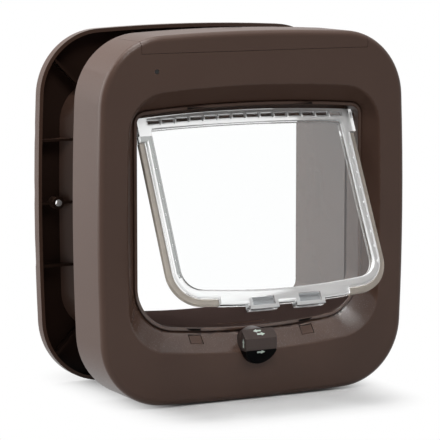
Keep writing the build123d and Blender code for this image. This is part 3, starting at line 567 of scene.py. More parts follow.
@dataclass(frozen=True)
class PrintedInk(Finish):
    """Pad printed ink on plastic.

    A thin matt layer that lets the plastic's stipple through, so its coverage is a little uneven.

    Attributes:
        shade: Colour of full ink.
        thin_shade: Colour where the ink is thin.
        grain_mm: Size of the uneven coverage.
        roughness: Roughness of the ink.
    """

    shade: str = "#c3d2c8"
    thin_shade: str = "#a9b8ae"
    grain_mm: float = 0.8
    roughness: float = 0.6

    def wire(self, tree: bpy.types.NodeTree, shader: bpy.types.Node) -> None:
        """Feeds the shader with uneven matt ink.

        Args:
            tree: The material's node tree.
            shader: The Principled shader to feed.
        """
        place = add_node(tree, "ShaderNodeTexCoord").outputs["Object"]
        cover = add_node(tree, "ShaderNodeTexNoise", {"Vector": place, "Scale": per_mm(self.grain_mm)})
        tone = add_node(tree, "ShaderNodeMix",
                        {MIX_SHARE: cover.outputs["Fac"], MIX_FIRST: linear(self.shade),
                         MIX_SECOND: linear(self.thin_shade)},
                        data_type="RGBA")
        tree.links.new(tone.outputs[MIX_RESULT], shader.inputs["Base Color"])
        shader.inputs["Roughness"].default_value = self.roughness


# Brown ABS. The faces of its tools were finished by place, so one moulding shines in several ways: satin
# all round, coarser on top, smooth in the tunnel and on the lip, softly polished low in the dish, deep and
# dull on the dish's sides. Painted shade: the sill is drawn a darker matt brown, the ribbed sides and the
# sleeves' outer sides dark brown, and the walls of the lugs' windows near black.
BROWN_SATIN = MouldedPlastic("abs_brown_spark_eroded", Slot.BROWN_ABS)
BROWN_COARSE = MouldedPlastic("abs_brown_coarse_top", Slot.BROWN_ABS, rough_low=0.4, rough_high=0.46,
                              specular=0.25)
BROWN_SMOOTH = MouldedPlastic("abs_brown_smooth_core", Slot.BROWN_ABS, rough_low=0.2, rough_high=0.26,
                              grain_depth_mm=0.006, specular=0.6)
BROWN_SOFT = MouldedPlastic("abs_brown_soft_polish", Slot.BROWN_ABS, rough_low=0.22, rough_high=0.28,
                            grain_depth_mm=0.005, specular=0.42)
BROWN_DULL = MouldedPlastic("abs_brown_deep_stipple", Slot.BROWN_ABS, rough_low=0.4, rough_high=0.5,
                            grain_depth_mm=0.03, specular=0.06)
# Painted shade: the sill is drawn a darker brown than the housing, matt and without sheen.
BROWN_SILL_PAINTED_SHADE = MouldedPlastic("abs_brown_sill_painted_shade", Slot.BROWN_ABS, "#362b28", "#3c302d", 0.55, 0.65,
                            specular=0.0)
# Painted shade: the ribbed side of the outside frame and the outer sides of the sleeves are drawn dark brown.
BROWN_PAINTED_SHADE = MouldedPlastic("abs_brown_painted_shade", Slot.BROWN_ABS, "#241914", "#291d18", 0.2, 0.26,
                            grain_depth_mm=0.006, specular=0.08)
# Painted shade: the walls of the lugs' windows are drawn near black.
GAP_PAINTED_SHADE = MouldedPlastic("abs_brown_gap_painted_shade", Slot.BROWN_ABS, "#0b0705", "#0e0906", specular=0.02)

# Knob, battery tray, lock cam, latch pinion and learn button: satin mouldings in pigments of their own.
# The knob's near-black lower flat is painted shade.
KNOB_SATIN = MouldedPlastic("abs_knob_satin", Slot.KNOB_ABS, "#3a302d", "#403632", 0.34, 0.42)
# Painted shade: the knob's lower flat is drawn near black, with almost no sheen.
KNOB_PAINTED_SHADE = MouldedPlastic("abs_knob_painted_shade", Slot.KNOB_ABS, "#020203", "#040405", 0.3, 0.36, specular=0.03)
TRAY_BLACK = MouldedPlastic("abs_black_satin", Slot.BLACK_ABS, "#161616", "#1c1c1d", 0.4, 0.5)
CAM_BLACK = MouldedPlastic("acetal_black", Slot.BLACK_ACETAL, "#131313", "#191919", 0.3, 0.36, ior=1.48)
PINION_WHITE = MouldedPlastic("acetal_white", Slot.WHITE_ACETAL, "#dedcd5", "#e6e4de", 0.26, 0.34, ior=1.48)
BUTTON_GREY = MouldedPlastic("abs_button_grey", Slot.BUTTON_ABS, "#b4b3ae", "#bcbbb6", 0.26, 0.34)

# Polycarbonate is as clear as glass in the pane. The rim and the hinge bar are drawn milky white as a painted
# highlight, and the left rim's front and the rim's edges that look right are grey as painted shade. The
# acrylic light pipe is frosted, and dark while it isn't lit.
CLEAR_PANE = ClearPlastic("polycarbonate_clear", Slot.CLEAR_POLYCARBONATE)
# Painted highlight: the rim and hinge bar let only part of the light through and show the rest as milky
# white.
CLEAR_RIM_PAINTED_LIGHT = ClearPlastic("polycarbonate_rim_painted_highlight", Slot.CLEAR_POLYCARBONATE, "#fbfcfc", rough_low=0.1,
                         rough_high=0.18, clear=0.6)
# Painted shade: rim edges that look right, away from the left lamp, are drawn grey.
CLEAR_EDGE_PAINTED_SHADE = ClearPlastic("polycarbonate_edge_painted_shade", Slot.CLEAR_POLYCARBONATE, "#7f8280", rough_low=0.05,
                          rough_high=0.12)
# Painted shade: the front of the left rim is drawn grey.
CLEAR_FRONT_PAINTED_SHADE = ClearPlastic("polycarbonate_left_painted_shade", Slot.CLEAR_POLYCARBONATE, "#6f7270", rough_low=0.02,
                           rough_high=0.08)
LIGHT_PIPE = ClearPlastic("acrylic_frosted", Slot.LIGHT_ACRYLIC, "#7d7771", 1.49, 0.3, 0.45)

# Cloudy seals, plated metals, and the battery bay's foil, copper and laminate, each as its class says.
SEAL_GREY = Elastomer("elastomer_seal", Slot.SEAL_ELASTOMER)
MAGNET_PLATED = PlatedMetal("ferrite_plated", Slot.MAGNET_FERRITE, "#8d8f91", "#77797b", 0.35, 0.5)
SCREW_ZINC = PlatedMetal("steel_zinc_plated", Slot.SCREW_STEEL, "#b7b9bd", "#93969b")
MOTOR_NICKEL = PlatedMetal("steel_nickel_can", Slot.MOTOR_STEEL, "#bdbcb8", "#9d9c98")
CONTACT_NICKEL = PlatedMetal("steel_nickel_spring", Slot.CONTACT_STEEL, "#c6c5c1", "#a6a5a2", 0.16, 0.34)
CELL_STEEL = PlatedMetal("steel_nickel_cell_end", Slot.CELL_SLEEVE, "#c2c2c0", "#a0a09e", 0.2, 0.36)
CELL_FOIL = FoilSleeve("foil_cell_sleeve", Slot.CELL_SLEEVE)
COIL_COPPER = WoundCopper("copper_enamelled_winding", Slot.COIL_COPPER)
BOARD_GREEN = SolderMask("laminate_green_mask", Slot.BOARD_LAMINATE)
ICON_INK = PrintedInk("ink_pad_print", Slot.KNOB_ABS)


@dataclass
class Bench:
    """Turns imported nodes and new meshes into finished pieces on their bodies.

    Attributes:
        nodes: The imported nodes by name.
        weld_mm: Distance under which a copy's loose corners are joined.
        flat_deg: Angle under which neighbouring faces of a copy count as one flat face.
        crease_deg: Angle above which an edge stays sharp.
        round_steps: Number of steps in a rounded edge.
        large_face_weight: How much large faces lead the shading at their corners, from 1 to 100.
    """

    nodes: dict[str, bpy.types.Object]
    weld_mm: float = 0.002
    flat_deg: float = 0.6
    crease_deg: float = 32.0
    round_steps: int = 3
    large_face_weight: int = 80

    def new_piece(self, name: str, mesh: bpy.types.Mesh) -> bpy.types.Object:
        """Puts a mesh into the scene as an object at the origin.

        Args:
            name: The piece's name.
            mesh: Its mesh, already in place.

        Returns:
            The new object.
        """
        piece = bpy.data.objects.new(name, mesh)
        bpy.context.scene.collection.objects.link(piece)
        return piece

    def shade(self, piece: bpy.types.Object) -> None:
        """Shades a piece smoothly up to the crease angle, with flat faces kept flat.

        Args:
            piece: The piece to shade.
        """
        piece.data.shade_smooth()
        piece.data.set_sharp_from_angle(angle=radians(self.crease_deg))
        weigh = piece.modifiers.new("even_shading", "WEIGHTED_NORMAL")
        weigh.keep_sharp = True
        weigh.weight = self.large_face_weight

    def copy_node(self, node: str, round_mm: float = 0.0) -> bpy.types.Object:
        """Makes a joined-up copy of a node, ready to be dressed.

        Args:
            node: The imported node.
            round_mm: Width of the rounding of its sharp edges, or 0 for none.

        Returns:
            The copy, named for the node.
        """
        work = bmesh.new()
        work.from_mesh(self.nodes[node].data)
        bmesh.ops.remove_doubles(work, verts=work.verts, dist=self.weld_mm * MM)
        if round_mm > 0:
            bmesh.ops.dissolve_limit(work, angle_limit=radians(self.flat_deg), verts=work.verts,
                                     edges=work.edges)
        mesh = bpy.data.meshes.new(node + "_dressed")
        work.to_mesh(mesh)
        work.free()
        for layer in [a.name for a in mesh.attributes if a.name.startswith("custom_normal")]:
            mesh.attributes.remove(mesh.attributes[layer])
        piece = self.new_piece(node + "_dressed", mesh)
        if round_mm > 0:
            soften = piece.modifiers.new("soft_edges", "BEVEL")
            soften.width = round_mm * MM
            soften.segments = self.round_steps
            soften.limit_method = "ANGLE"
            soften.angle_limit = radians(self.crease_deg)
            soften.harden_normals = False
        self.shade(piece)
        return piece

    def settle(self, piece: bpy.types.Object, body: Body, finish: Finish,
               *stands_for: str) -> bpy.types.Object:
        """Gives a piece its finish and body, and hides the nodes that it stands for.

        Args:
            piece: The piece, in place.
            body: The body that it moves with.
            finish: Its main finish.
            *stands_for: The nodes that it replaces.

        Returns:
            The same piece.
        """
        if not piece.data.materials:
            piece.data.materials.append(finish.material())
        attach(piece, body.value)
        if stands_for:
            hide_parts(*stands_for)
        log.info("%s on %s: %d faces", piece.name, body.value, len(piece.data.polygons))
        return piece

    def dress_node(self, node: str, body: Body, finish: Finish, round_mm: float = 0.0) -> bpy.types.Object:
        """Copies a node, finishes the copy all over and lets it stand for the node.

        Args:
            node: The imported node.
            body: The body that it moves with.
            finish: Its finish.
            round_mm: Width of the rounding of its sharp edges, or 0 for none.

        Returns:
            The dressed piece.
        """
        return self.settle(self.copy_node(node, round_mm), body, finish, node)

    def repaint(self, piece: bpy.types.Object, finish: Finish, pick: FacePick) -> None:
        """Gives some faces of a piece another finish.

        Args:
            piece: The dressed piece.
            finish: The other finish.
            pick: Says which faces take it.
        """
        piece.data.materials.append(finish.material())
        index = len(piece.data.materials) - 1
        for face in piece.data.polygons:
            if pick(face.center / MM, face.normal):
                face.material_index = index

    def grow(self, name: str, carrier: bpy.types.Mesh, tree: bpy.types.NodeTree,
             sizes: dict[str, float]) -> bpy.types.Object:
        """Runs a geometry tree over a carrier mesh and keeps the result as a plain piece.

        Args:
            name: The new piece's name.
            carrier: Points for the tree to work on.
            tree: The geometry tree.
            sizes: Values of the tree's named inputs.

        Returns:
            A piece with a plain mesh and no geometry modifier.
        """
        holder = self.new_piece(name + "_carrier", carrier)
        run = holder.modifiers.new("grow", "NODES")
        run.node_group = tree
        for socket in tree.interface.items_tree:
            if socket.in_out == "INPUT" and socket.name in sizes:
                run[socket.identifier] = sizes[socket.name]
        bpy.context.view_layer.update()
        shown = holder.evaluated_get(bpy.context.evaluated_depsgraph_get())
        mesh = bpy.data.meshes.new_from_object(shown)
        mesh.name = name
        holder.modifiers.remove(run)
        bpy.data.objects.remove(holder)
        return self.new_piece(name, mesh)


def point_mesh(name: str, spots: list[Vector]) -> bpy.types.Mesh:
    """Makes a mesh of loose points, for a geometry tree to work on.

    Args:
        name: The mesh's name.
        spots: The points, in metres.

    Returns:
        The mesh.
    """
    mesh = bpy.data.meshes.new(name)
    mesh.from_pydata(spots, [], [])
    return mesh


def open_tree(name: str, sizes: list[str]) -> tuple[bpy.types.NodeTree, bpy.types.Node]:
    """Opens a geometry tree with a geometry input and named size inputs.

    Args:
        name: The tree's name.
        sizes: Names of its size inputs.

    Returns:
        The tree and its input node.
    """
    tree = bpy.data.node_groups.new(name, "GeometryNodeTree")
    tree.interface.new_socket(name="Geometry", in_out="INPUT", socket_type="NodeSocketGeometry")
    for size in sizes:
        tree.interface.new_socket(name=size, in_out="INPUT", socket_type="NodeSocketFloat")
    tree.interface.new_socket(name="Geometry", in_out="OUTPUT", socket_type="NodeSocketGeometry")
    return tree, add_node(tree, "NodeGroupInput")


def close_tree(tree: bpy.types.NodeTree, shape: bpy.types.NodeSocket, finish: Finish) -> None:
    """Ends a geometry tree in real geometry with its material.

    Args:
        tree: The geometry tree.
        shape: The last geometry of the tree.
        finish: The finish to set.
    """
    real = add_node(tree, "GeometryNodeRealizeInstances", {"Geometry": shape})
    dressed = add_node(tree, "GeometryNodeSetMaterial",
                       {"Geometry": real.outputs["Geometry"], "Material": finish.material()})
    add_node(tree, "NodeGroupOutput", {"Geometry": dressed.outputs["Geometry"]})


def faces_up(middle: Vector, normal: Vector) -> bool:
    """Says if a face is on the top of the housing or of the battery cover.

    Args:
        middle: The face's middle, in millimetres.
        normal: The face's normal.

    Returns:
        True for faces that look up, above the dish.
    """
    return middle.z > TOP_LEVEL and normal.z > MOSTLY


@dataclass
class RoomHousing:
    """The room-side housing, its back cover with the tunnel sleeve, and the screws that join them.

    Attributes:
        latch: The latch whose lugs come up through this housing's windows.
        screw_spots: Places of the housing screws, as X and Z in millimetres.
        screw_top: Y of the top of the screw heads.
        head_radius: Radius of a screw head.
        head_height: Height of a screw head.
        core_radius: Radius of a screw's core.
        core_length: Length of a screw's core.
        tip_radius: Radius of a screw's tip.
        thread_pitch: Pitch of the thread.
        ridge_radius: Radius of the thread's ridge.
        slot_width: Width of the cross recess.
        slot_length: Length of the cross recess.
        tunnel_half_width: Half width inside the tunnel.
        tunnel_half_height: Half height inside the tunnel.
        tunnel_drop: How far the tunnel's middle lies below the frame's origin.
        tunnel_front: Y behind which a face can line the tunnel.
        door_y: Y behind which a face of a sleeve is inside the door.
        dish_y: Y of the dish's border and of its floor.
        dish_side: Width of the dish's slopes beside the opening.
        dish_slant: Range of the Y of a normal on the dish's slopes.
        dish_rise: Z of a normal above which a slope of the dish looks up.
        lip_y: Y of the front and of the back of the lip's rounded edge.
        lip_turn: Y of a normal under which a face of the lip doesn't look back into the tunnel.
        sill_top: Height under which an upward face belongs to the sill.
        magnet_round: Rounding of the sill magnets' edges.
    """

    latch: "MotorLatch"
    screw_spots: tuple[tuple[float, float], ...] = (
        (98.0, -102.5), (106.0, -53.5), (-98.0, 95.5), (-98.0, -102.5), (-106.0, -53.5), (98.0, 95.5))
    screw_top: float = -0.3
    head_radius: float = 2.7
    head_height: float = 1.2
    core_radius: float = 1.05
    core_length: float = 12.0
    tip_radius: float = 0.5
    thread_pitch: float = 1.0
    ridge_radius: float = 0.2
    slot_width: float = 0.7
    slot_length: float = 4.05
    tunnel_half_width: float = 91.0
    tunnel_half_height: float = 91.0
    tunnel_drop: float = 4.0
    tunnel_front: float = -30.0
    door_y: float = 0.5
    dish_y: tuple[float, float] = (-44.3, -32.4)
    dish_side: float = 12.0
    dish_slant: tuple[float, float] = (-0.95, -0.1)
    dish_rise: float = 0.15
    lip_y: tuple[float, float] = (-34.7, -33.4)
    lip_turn: float = 0.3
    sill_top: float = -55.0
    magnet_round: float = 0.4

    def screw_tree(self) -> bpy.types.NodeTree:
        """Builds the tree that puts a screw with a tapered head, a cross recess and a thread on each point.

        Returns:
            The geometry tree.
        """
        tree, sizes = open_tree("housing_screw_row",
                                ["Head Radius", "Head Height", "Core Radius", "Core Length", "Tip Radius",
                                 "Thread Turns", "Ridge Radius", "Slot Width", "Slot Length"])
        head = add_node(tree, "GeometryNodeMeshCone",
                        {"Vertices": 32, "Radius Top": sizes.outputs["Core Radius"],
                         "Radius Bottom": sizes.outputs["Head Radius"],
                         "Depth": sizes.outputs["Head Height"]})
        bar_size = add_node(tree, "ShaderNodeCombineXYZ",
                            {"X": sizes.outputs["Slot Length"], "Y": sizes.outputs["Slot Width"],
                             "Z": sizes.outputs["Head Height"]})
        bar = add_node(tree, "GeometryNodeMeshCube", {"Size": bar_size.outputs["Vector"]})
        lift = add_node(tree, "ShaderNodeCombineXYZ", {"Z": sizes.outputs["Head Height"]})
        cut = add_node(tree, "GeometryNodeMeshBoolean", {"Mesh 1": head.outputs["Mesh"]},
                       operation="DIFFERENCE")
        for turn in (0.0, pi / 2):
            raised = add_node(tree, "GeometryNodeTransform",
                              {"Geometry": bar.outputs["Mesh"], "Translation": lift.outputs["Vector"],
                               "Rotation": Euler((0.0, 0.0, turn))})
            tree.links.new(raised.outputs["Geometry"], cut.inputs["Mesh 2"])
        core = add_node(tree, "GeometryNodeMeshCone",
                        {"Vertices": 16, "Radius Top": sizes.outputs["Core Radius"],
                         "Radius Bottom": sizes.outputs["Tip Radius"],
                         "Depth": sizes.outputs["Core Length"]})
        sink = add_node(tree, "ShaderNodeMath", {0: sizes.outputs["Core Length"], 1: -1.0},
                        operation="MULTIPLY")
        drop = add_node(tree, "ShaderNodeCombineXYZ", {"Z": sink.outputs[0]})
        sunk = add_node(tree, "GeometryNodeTransform",
                        {"Geometry": core.outputs["Mesh"], "Translation": drop.outputs["Vector"]})
        helix = add_node(tree, "GeometryNodeCurveSpiral",
                         {"Resolution": 16, "Rotations": sizes.outputs["Thread Turns"],
                          "Start Radius": sizes.outputs["Core Radius"],
                          "End Radius": sizes.outputs["Core Radius"], "Height": sizes.outputs["Core Length"]})
        ridge = add_node(tree, "GeometryNodeCurvePrimitiveCircle",
                         {"Resolution": 3, "Radius": sizes.outputs["Ridge Radius"]})
        thread = add_node(tree, "GeometryNodeCurveToMesh",
                          {"Curve": helix.outputs["Curve"], "Profile Curve": ridge.outputs["Curve"]})
        hung = add_node(tree, "GeometryNodeTransform",
                        {"Geometry": thread.outputs["Mesh"], "Translation": drop.outputs["Vector"]})
        screw = add_node(tree, "GeometryNodeJoinGeometry")
        for part in (cut.outputs["Mesh"], sunk.outputs["Geometry"], hung.outputs["Geometry"]):
            tree.links.new(part, screw.inputs["Geometry"])
        row = add_node(tree, "GeometryNodeInstanceOnPoints",
                       {"Points": sizes.outputs["Geometry"], "Instance": screw.outputs["Geometry"],
                        "Rotation": Euler((-pi / 2, 0.0, 0.0))})
        close_tree(tree, row.outputs["Instances"], SCREW_ZINC)
        return tree

    def build_screws(self, bench: Bench) -> None:
        """Makes the housing screws.

        Args:
            bench: The workbench.
        """
        spots = [Vector((x, self.screw_top - self.head_height, z)) * MM for x, z in self.screw_spots]
        lengths = {"Head Radius": self.head_radius, "Head Height": self.head_height,
                   "Core Radius": self.core_radius, "Core Length": self.core_length,
                   "Tip Radius": self.tip_radius, "Ridge Radius": self.ridge_radius,
                   "Slot Width": self.slot_width, "Slot Length": self.slot_length}
        sizes = {name: length * MM for name, length in lengths.items()}
        sizes["Thread Turns"] = self.core_length / self.thread_pitch
        screws = bench.grow("housing_screws_cross", point_mesh("screw_spots", spots), self.screw_tree(),
                            sizes)
        bench.settle(screws, Body.FRAME, SCREW_ZINC, "housing_screws")

    def in_tunnel(self, middle: Vector, normal: Vector) -> bool:
        """Says if a face lines a side wall of the tunnel, looking in towards its axis.

        Args:
            middle: The face's middle, in millimetres.
            normal: The face's normal.

        Returns:
            True for the smooth lining of the tunnel's side walls.
        """
        height = middle.z + self.tunnel_drop
        inward = -(normal.x * middle.x + normal.z * height)
        within = abs(middle.x) < self.tunnel_half_width and abs(height) < self.tunnel_half_height
        return within and abs(normal.x) > MOSTLY and inward > 0 and middle.y > self.tunnel_front

    def round_sleeve(self, middle: Vector, normal: Vector) -> bool:
        """Says if a face is on the outer side of the sleeve, inside the door, which is painted dark as shade.

        Args:
            middle: The face's middle, in millimetres.
            normal: The face's normal.

        Returns:
            True for the faces that look away from the tunnel's axis.
        """
        outward = normal.x * middle.x + normal.z * middle.z
        return middle.y > self.door_y and outward > 0 and abs(normal.y) < MOSTLY

    def on_sill(self, middle: Vector, normal: Vector) -> bool:
        """Says if a face is on the floor of the tunnel, which is drawn darker and matt as painted shade.

        Args:
            middle: The face's middle, in millimetres.
            normal: The face's normal.

        Returns:
            True for upward faces behind the lip.
        """
        low = -self.tunnel_half_height - self.tunnel_drop < middle.z < self.sill_top
        within = abs(middle.x) < self.tunnel_half_width and middle.y > self.lip_y[1]
        return low and within and normal.z > MOSTLY

    def on_lip(self, middle: Vector, normal: Vector) -> bool:
        """Says if a face is on the lip's rounded edge in front of the sill, which is polished.

        Args:
            middle: The face's middle, in millimetres.
            normal: The face's normal.

        Returns:
            True for the lower lip.
        """
        on_edge = self.lip_y[0] < middle.y < self.lip_y[1]
        return on_edge and middle.z < self.sill_top and normal.y < self.lip_turn

    def on_slope(self, middle: Vector, normal: Vector) -> bool:
        """Says if a face is on any of the slopes of the dish.

        Args:
            middle: The face's middle, in millimetres.
            normal: The face's normal.

        Returns:
            True for faces that slant between the dish's border and its floor.
        """
        within = self.dish_y[0] < middle.y < self.dish_y[1]
        return within and self.dish_slant[0] < normal.y < self.dish_slant[1]

    def on_low_dish(self, middle: Vector, normal: Vector) -> bool:
        """Says if a face is on the dish's lower slope, which has a soft polish.

        Args:
            middle: The face's middle, in millimetres.
            normal: The face's normal.

        Returns:
            True for the slope in front of the sill.
        """
        low = middle.z < self.sill_top and abs(middle.x) < self.tunnel_half_width + self.dish_side
        return low and normal.z > self.dish_rise and self.on_slope(middle, normal)

    def on_high_dish(self, middle: Vector, normal: Vector) -> bool:
        """Says if a face looks in from a slope of the dish, where the stipple is deep.

        Args:
            middle: The face's middle, in millimetres.
            normal: The face's normal.

        Returns:
            True for all slopes of the dish; the lower one is polished afterwards.
        """
        inward = -(normal.x * middle.x + normal.z * middle.z)
        return inward > 0 and self.on_slope(middle, normal)

    def build(self, bench: Bench) -> None:
        """Dresses the housing, back cover, screws, sill magnets, light pipe and aerial coil.

        Args:
            bench: The workbench.
        """
        shell = bench.dress_node("interior_housing", Body.FRAME, BROWN_SATIN)
        bench.repaint(shell, BROWN_COARSE, faces_up)
        bench.repaint(shell, BROWN_DULL, self.on_high_dish)
        bench.repaint(shell, BROWN_SOFT, self.on_low_dish)
        bench.repaint(shell, BROWN_SMOOTH, self.on_lip)
        # Painted shade: the sill is drawn darker and matt.
        bench.repaint(shell, BROWN_SILL_PAINTED_SHADE, self.on_sill)
        # Painted shade: the lugs' windows are drawn near black.
        bench.repaint(shell, GAP_PAINTED_SHADE, self.latch.in_gap)
        back = bench.dress_node("interior_back", Body.FRAME, BROWN_SATIN)
        # Painted shade: the sleeve's outer side is drawn dark.
        bench.repaint(back, BROWN_PAINTED_SHADE, self.round_sleeve)
        bench.repaint(back, BROWN_SMOOTH, self.in_tunnel)
        # Painted shade: the sill is drawn darker and matt.
        bench.repaint(back, BROWN_SILL_PAINTED_SHADE, self.on_sill)
        self.build_screws(bench)
        bench.dress_node("sill_magnets", Body.FRAME, MAGNET_PLATED, self.magnet_round)
        bench.dress_node("light_pipe", Body.FRAME, LIGHT_PIPE)
        bench.dress_node("antenna_coil", Body.FRAME, COIL_COPPER)


@dataclass
class OutsideFrame:
    """The outside frame with its ribs, and the sleeve on it that telescopes into the tunnel.

    Attributes:
        lining: The housing whose rules for the tunnel also hold for this sleeve.
        edge_depth: How far the edge that meets the door reaches back from it, in millimetres.
        back_turn: Y of a normal under which a face doesn't look away from the door.
        outer_turn: Part of a normal away from the middle above which a face is on the outer side.
    """

    lining: RoomHousing
    edge_depth: float = 0.6
    back_turn: float = 0.3
    outer_turn: float = 0.4

    def on_core(self, middle: Vector, normal: Vector, door_y: float) -> bool:
        """Says if a face is on the hollow ribbed side of the frame, towards the door, which is painted dark
        as shade.

        Args:
            middle: The face's middle, in millimetres.
            normal: The face's normal.
            door_y: Y of the edge that meets the door.

        Returns:
            True for the ribbed side apart from the edge that meets the door.
        """
        outward = (normal.x * middle.x + normal.z * middle.z) / Vector((middle.x, middle.z)).length
        on_edge = normal.y < -MOSTLY and middle.y < door_y + self.edge_depth
        return normal.y < self.back_turn and outward < self.outer_turn and not on_edge

    def build(self, bench: Bench) -> None:
        """Dresses the outside frame and its sleeve.

        Args:
            bench: The workbench.
        """
        outside = bench.dress_node("exterior_frame", Body.OUTSIDE, BROWN_SATIN)
        door_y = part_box("exterior_frame")[0].y / MM
        # Painted shade: the ribbed side is drawn dark.
        bench.repaint(outside, BROWN_PAINTED_SHADE, lambda middle, normal: self.on_core(middle, normal, door_y))
        sleeve = bench.dress_node("tunnel_sleeve", Body.OUTSIDE, BROWN_SATIN)
        # Painted shade: the sleeve's outer side is drawn dark.
        bench.repaint(sleeve, BROWN_PAINTED_SHADE, self.lining.round_sleeve)
        bench.repaint(sleeve, BROWN_SMOOTH, self.lining.in_tunnel)
        # Painted shade: the sill is drawn darker and matt.
        bench.repaint(sleeve, BROWN_SILL_PAINTED_SHADE, self.lining.on_sill)


@dataclass
class ClearFlap:
    """The clear swinging flap with its seals, magnets and the small nubs along its rim.

    Attributes:
        edge_round: Rounding of the moulded edges, in millimetres.
        hinge: The hinge axis, as Y and Z.
        open_deg: How far the flap stands open into the room.
        bar_bottom: Distance of the hinge bar's lower edge from the hinge.
        slot_floor: Height of the floors of the bar's slots over the pane's middle plane.
        slot_reach: How far a face may lie off that height and still be on a floor.
        slot_highlight_start: How far below a slot's middle the painted highlight on its floor starts.
        slot_pitch: Spacing of the slots.
        slot_count: Number of slots.
        slot_bow: How much higher the slots lie in the middle of the bar than at its ends.
        half_width: Half width of the flap.
        window_middle: Distance of the window's middle from the hinge.
        rim_level: Height over the pane's middle plane above which a face is on the rim.
        rim_x: Distance of the middle of the side rims from the middle.
        rim_side: Distance from the middle beyond which a face is on a side rim.
        rim_front: Height of the rim's front over the pane's middle plane.
        rim_reach: How far a face may lie under that height and still be on the front.
        rim_foot: Distance from the hinge at which the side rims turn into the lower one.
        front_turn: X of a normal under which a face of the rim looks to the front.
        edge_turn: X of a normal above which a face of the rim looks right.
        magnet_x: Distance of the magnets' middles from the middle.
        magnet_down: Distance of the magnets' middles from the hinge.
        magnet_size: Length and height of a magnet.
        nub_pitch: Spacing of the nubs.
        nub_start: Distance of the first nubs from the hinge.
        nub_count: Number of nubs on each side.
        nub_radius: Radius of a nub.
        nub_form: Width, height and length of a nub over its radius.
        seal_round: Rounding of the seals' edges.
        magnet_round: Rounding of the magnets' edges.
    """

    edge_round: float = 0.4
    hinge: tuple[float, float] = (-26.0, 61.5)
    open_deg: float = 26.6
    bar_bottom: float = 9.0
    slot_floor: float = 0.9
    slot_reach: float = 0.2
    slot_highlight_start: float = 0.3
    slot_pitch: float = 11.0
    slot_count: int = 14
    slot_bow: float = 2.7
    half_width: float = 84.5
    window_middle: float = 65.0
    rim_level: float = 1.35
    rim_x: float = 77.3
    rim_side: float = 59.15
    rim_front: float = 3.5
    rim_reach: float = 0.05
    rim_foot: float = 108.0
    front_turn: float = 0.3
    edge_turn: float = 0.1
    magnet_x: float = 18.0
    magnet_down: float = 131.5
    magnet_size: tuple[float, float] = (17.0, 6.0)
    nub_pitch: float = 11.0
    nub_start: float = 22.0
    nub_count: int = 9
    nub_radius: float = 0.6
    nub_form: tuple[float, float, float] = (1.0, 0.6, 1.6)
    seal_round: float = 0.6
    magnet_round: float = 0.4

    def spot(self, x: float, down: float, out: float) -> Vector:
        """Finds a point of the flap.

        Args:
            x: Distance to the right of the middle, in millimetres.
            down: Distance down the flap from the hinge.
            out: Height over the pane's middle plane, towards the room.

        Returns:
            The point, in metres.
        """
        slant = radians(self.open_deg)
        y = self.hinge[0] - down * sin(slant) - out * cos(slant)
        z = self.hinge[1] - down * cos(slant) + out * sin(slant)
        return Vector((x, y, z)) * MM

    def local(self, middle: Vector) -> tuple[float, float]:
        """Finds how far down the flap and over its middle plane a point lies.

        Args:
            middle: The point, in millimetres.

        Returns:
            The distance down from the hinge and the height towards the room.
        """
        slant = radians(self.open_deg)
        y, z = middle.y - self.hinge[0], middle.z - self.hinge[1]
        return -y * sin(slant) - z * cos(slant), -y * cos(slant) + z * sin(slant)

    def slot_level(self, x: float) -> float:
        """Returns how far down from the hinge the middle of the bar's slots lies at this X."""
        return -self.slot_bow * (1.0 - (x / self.half_width) ** 2)

    def looks_in(self, middle: Vector, normal: Vector) -> bool:
        """Says if a face of the rim looks in towards the middle of the window.

        Args:
            middle: The face's middle, in millimetres.
            normal: The face's normal.

        Returns:
            True for the inner edges of the rim.
        """
        slant = radians(self.open_deg)
        facing_down = -normal.y * sin(slant) - normal.z * cos(slant)
        return facing_down * (self.window_middle - self.local(middle)[0]) - normal.x * middle.x > 0

    def on_floor(self, middle: Vector) -> bool:
        """Says if a face of this middle is as high as the floors of the bar's slots."""
        return abs(self.local(middle)[1] - self.slot_floor) < self.slot_reach

    def on_bar(self, middle: Vector) -> bool:
        """Says if a face is on the front of the hinge bar or the lower part of a slot's floor.

        Args:
            middle: The face's middle, in millimetres.

        Returns:
            True for faces of the bar that take the painted highlight.
        """
        down, out = self.local(middle)
        low_floor = self.on_floor(middle) and down > self.slot_level(middle.x) + self.slot_highlight_start
        ends = self.slot_pitch * self.slot_count / 2
        return down < self.bar_bottom and abs(middle.x) < ends and (out > self.rim_level or low_floor)

    def on_magnet(self, middle: Vector) -> bool:
        """Says if a face lies over a magnet, which shows through it.

        Args:
            middle: The face's middle, in millimetres.

        Returns:
            True for faces within the magnet's outline.
        """
        length, height = self.magnet_size
        aside = abs(abs(middle.x) - self.magnet_x)
        return aside < length / 2 and abs(self.local(middle)[0] - self.magnet_down) < height / 2

    def on_rim(self, middle: Vector) -> bool:
        """Says if a face of this middle is on the raised rim below the hinge bar, beside the magnets."""
        down, out = self.local(middle)
        return down > self.bar_bottom and out > self.rim_level and not self.on_magnet(middle)

    def on_painted_highlight(self, middle: Vector, normal: Vector) -> bool:
        """Says if a face of this middle is on the hinge bar or the rim, which take a milky painted highlight.
        """
        return self.on_bar(middle) or self.on_rim(middle)

    def on_rim_front(self, middle: Vector, normal: Vector) -> bool:
        """Says if a face is on the flat front of the left rim, which is drawn grey as painted shade.

        Args:
            middle: The face's middle, in millimetres.
            normal: The face's normal.

        Returns:
            True for the front of the left rim.
        """
        down, out = self.local(middle)
        left_front = middle.x < -self.rim_side and abs(normal.x) < self.front_turn
        return left_front and out > self.rim_front - self.rim_reach and self.bar_bottom < down < self.rim_foot

    def on_shaded_rim_edge(self, middle: Vector, normal: Vector) -> bool:
        """Says if a face is on the left rim's inner edge, which is drawn grey as painted shade.

        Args:
            middle: The face's middle, in millimetres.
            normal: The face's normal.

        Returns:
            True for the rim's edges that look right, into the window.
        """
        return normal.x > self.edge_turn and self.on_rim(middle) and self.looks_in(middle, normal)

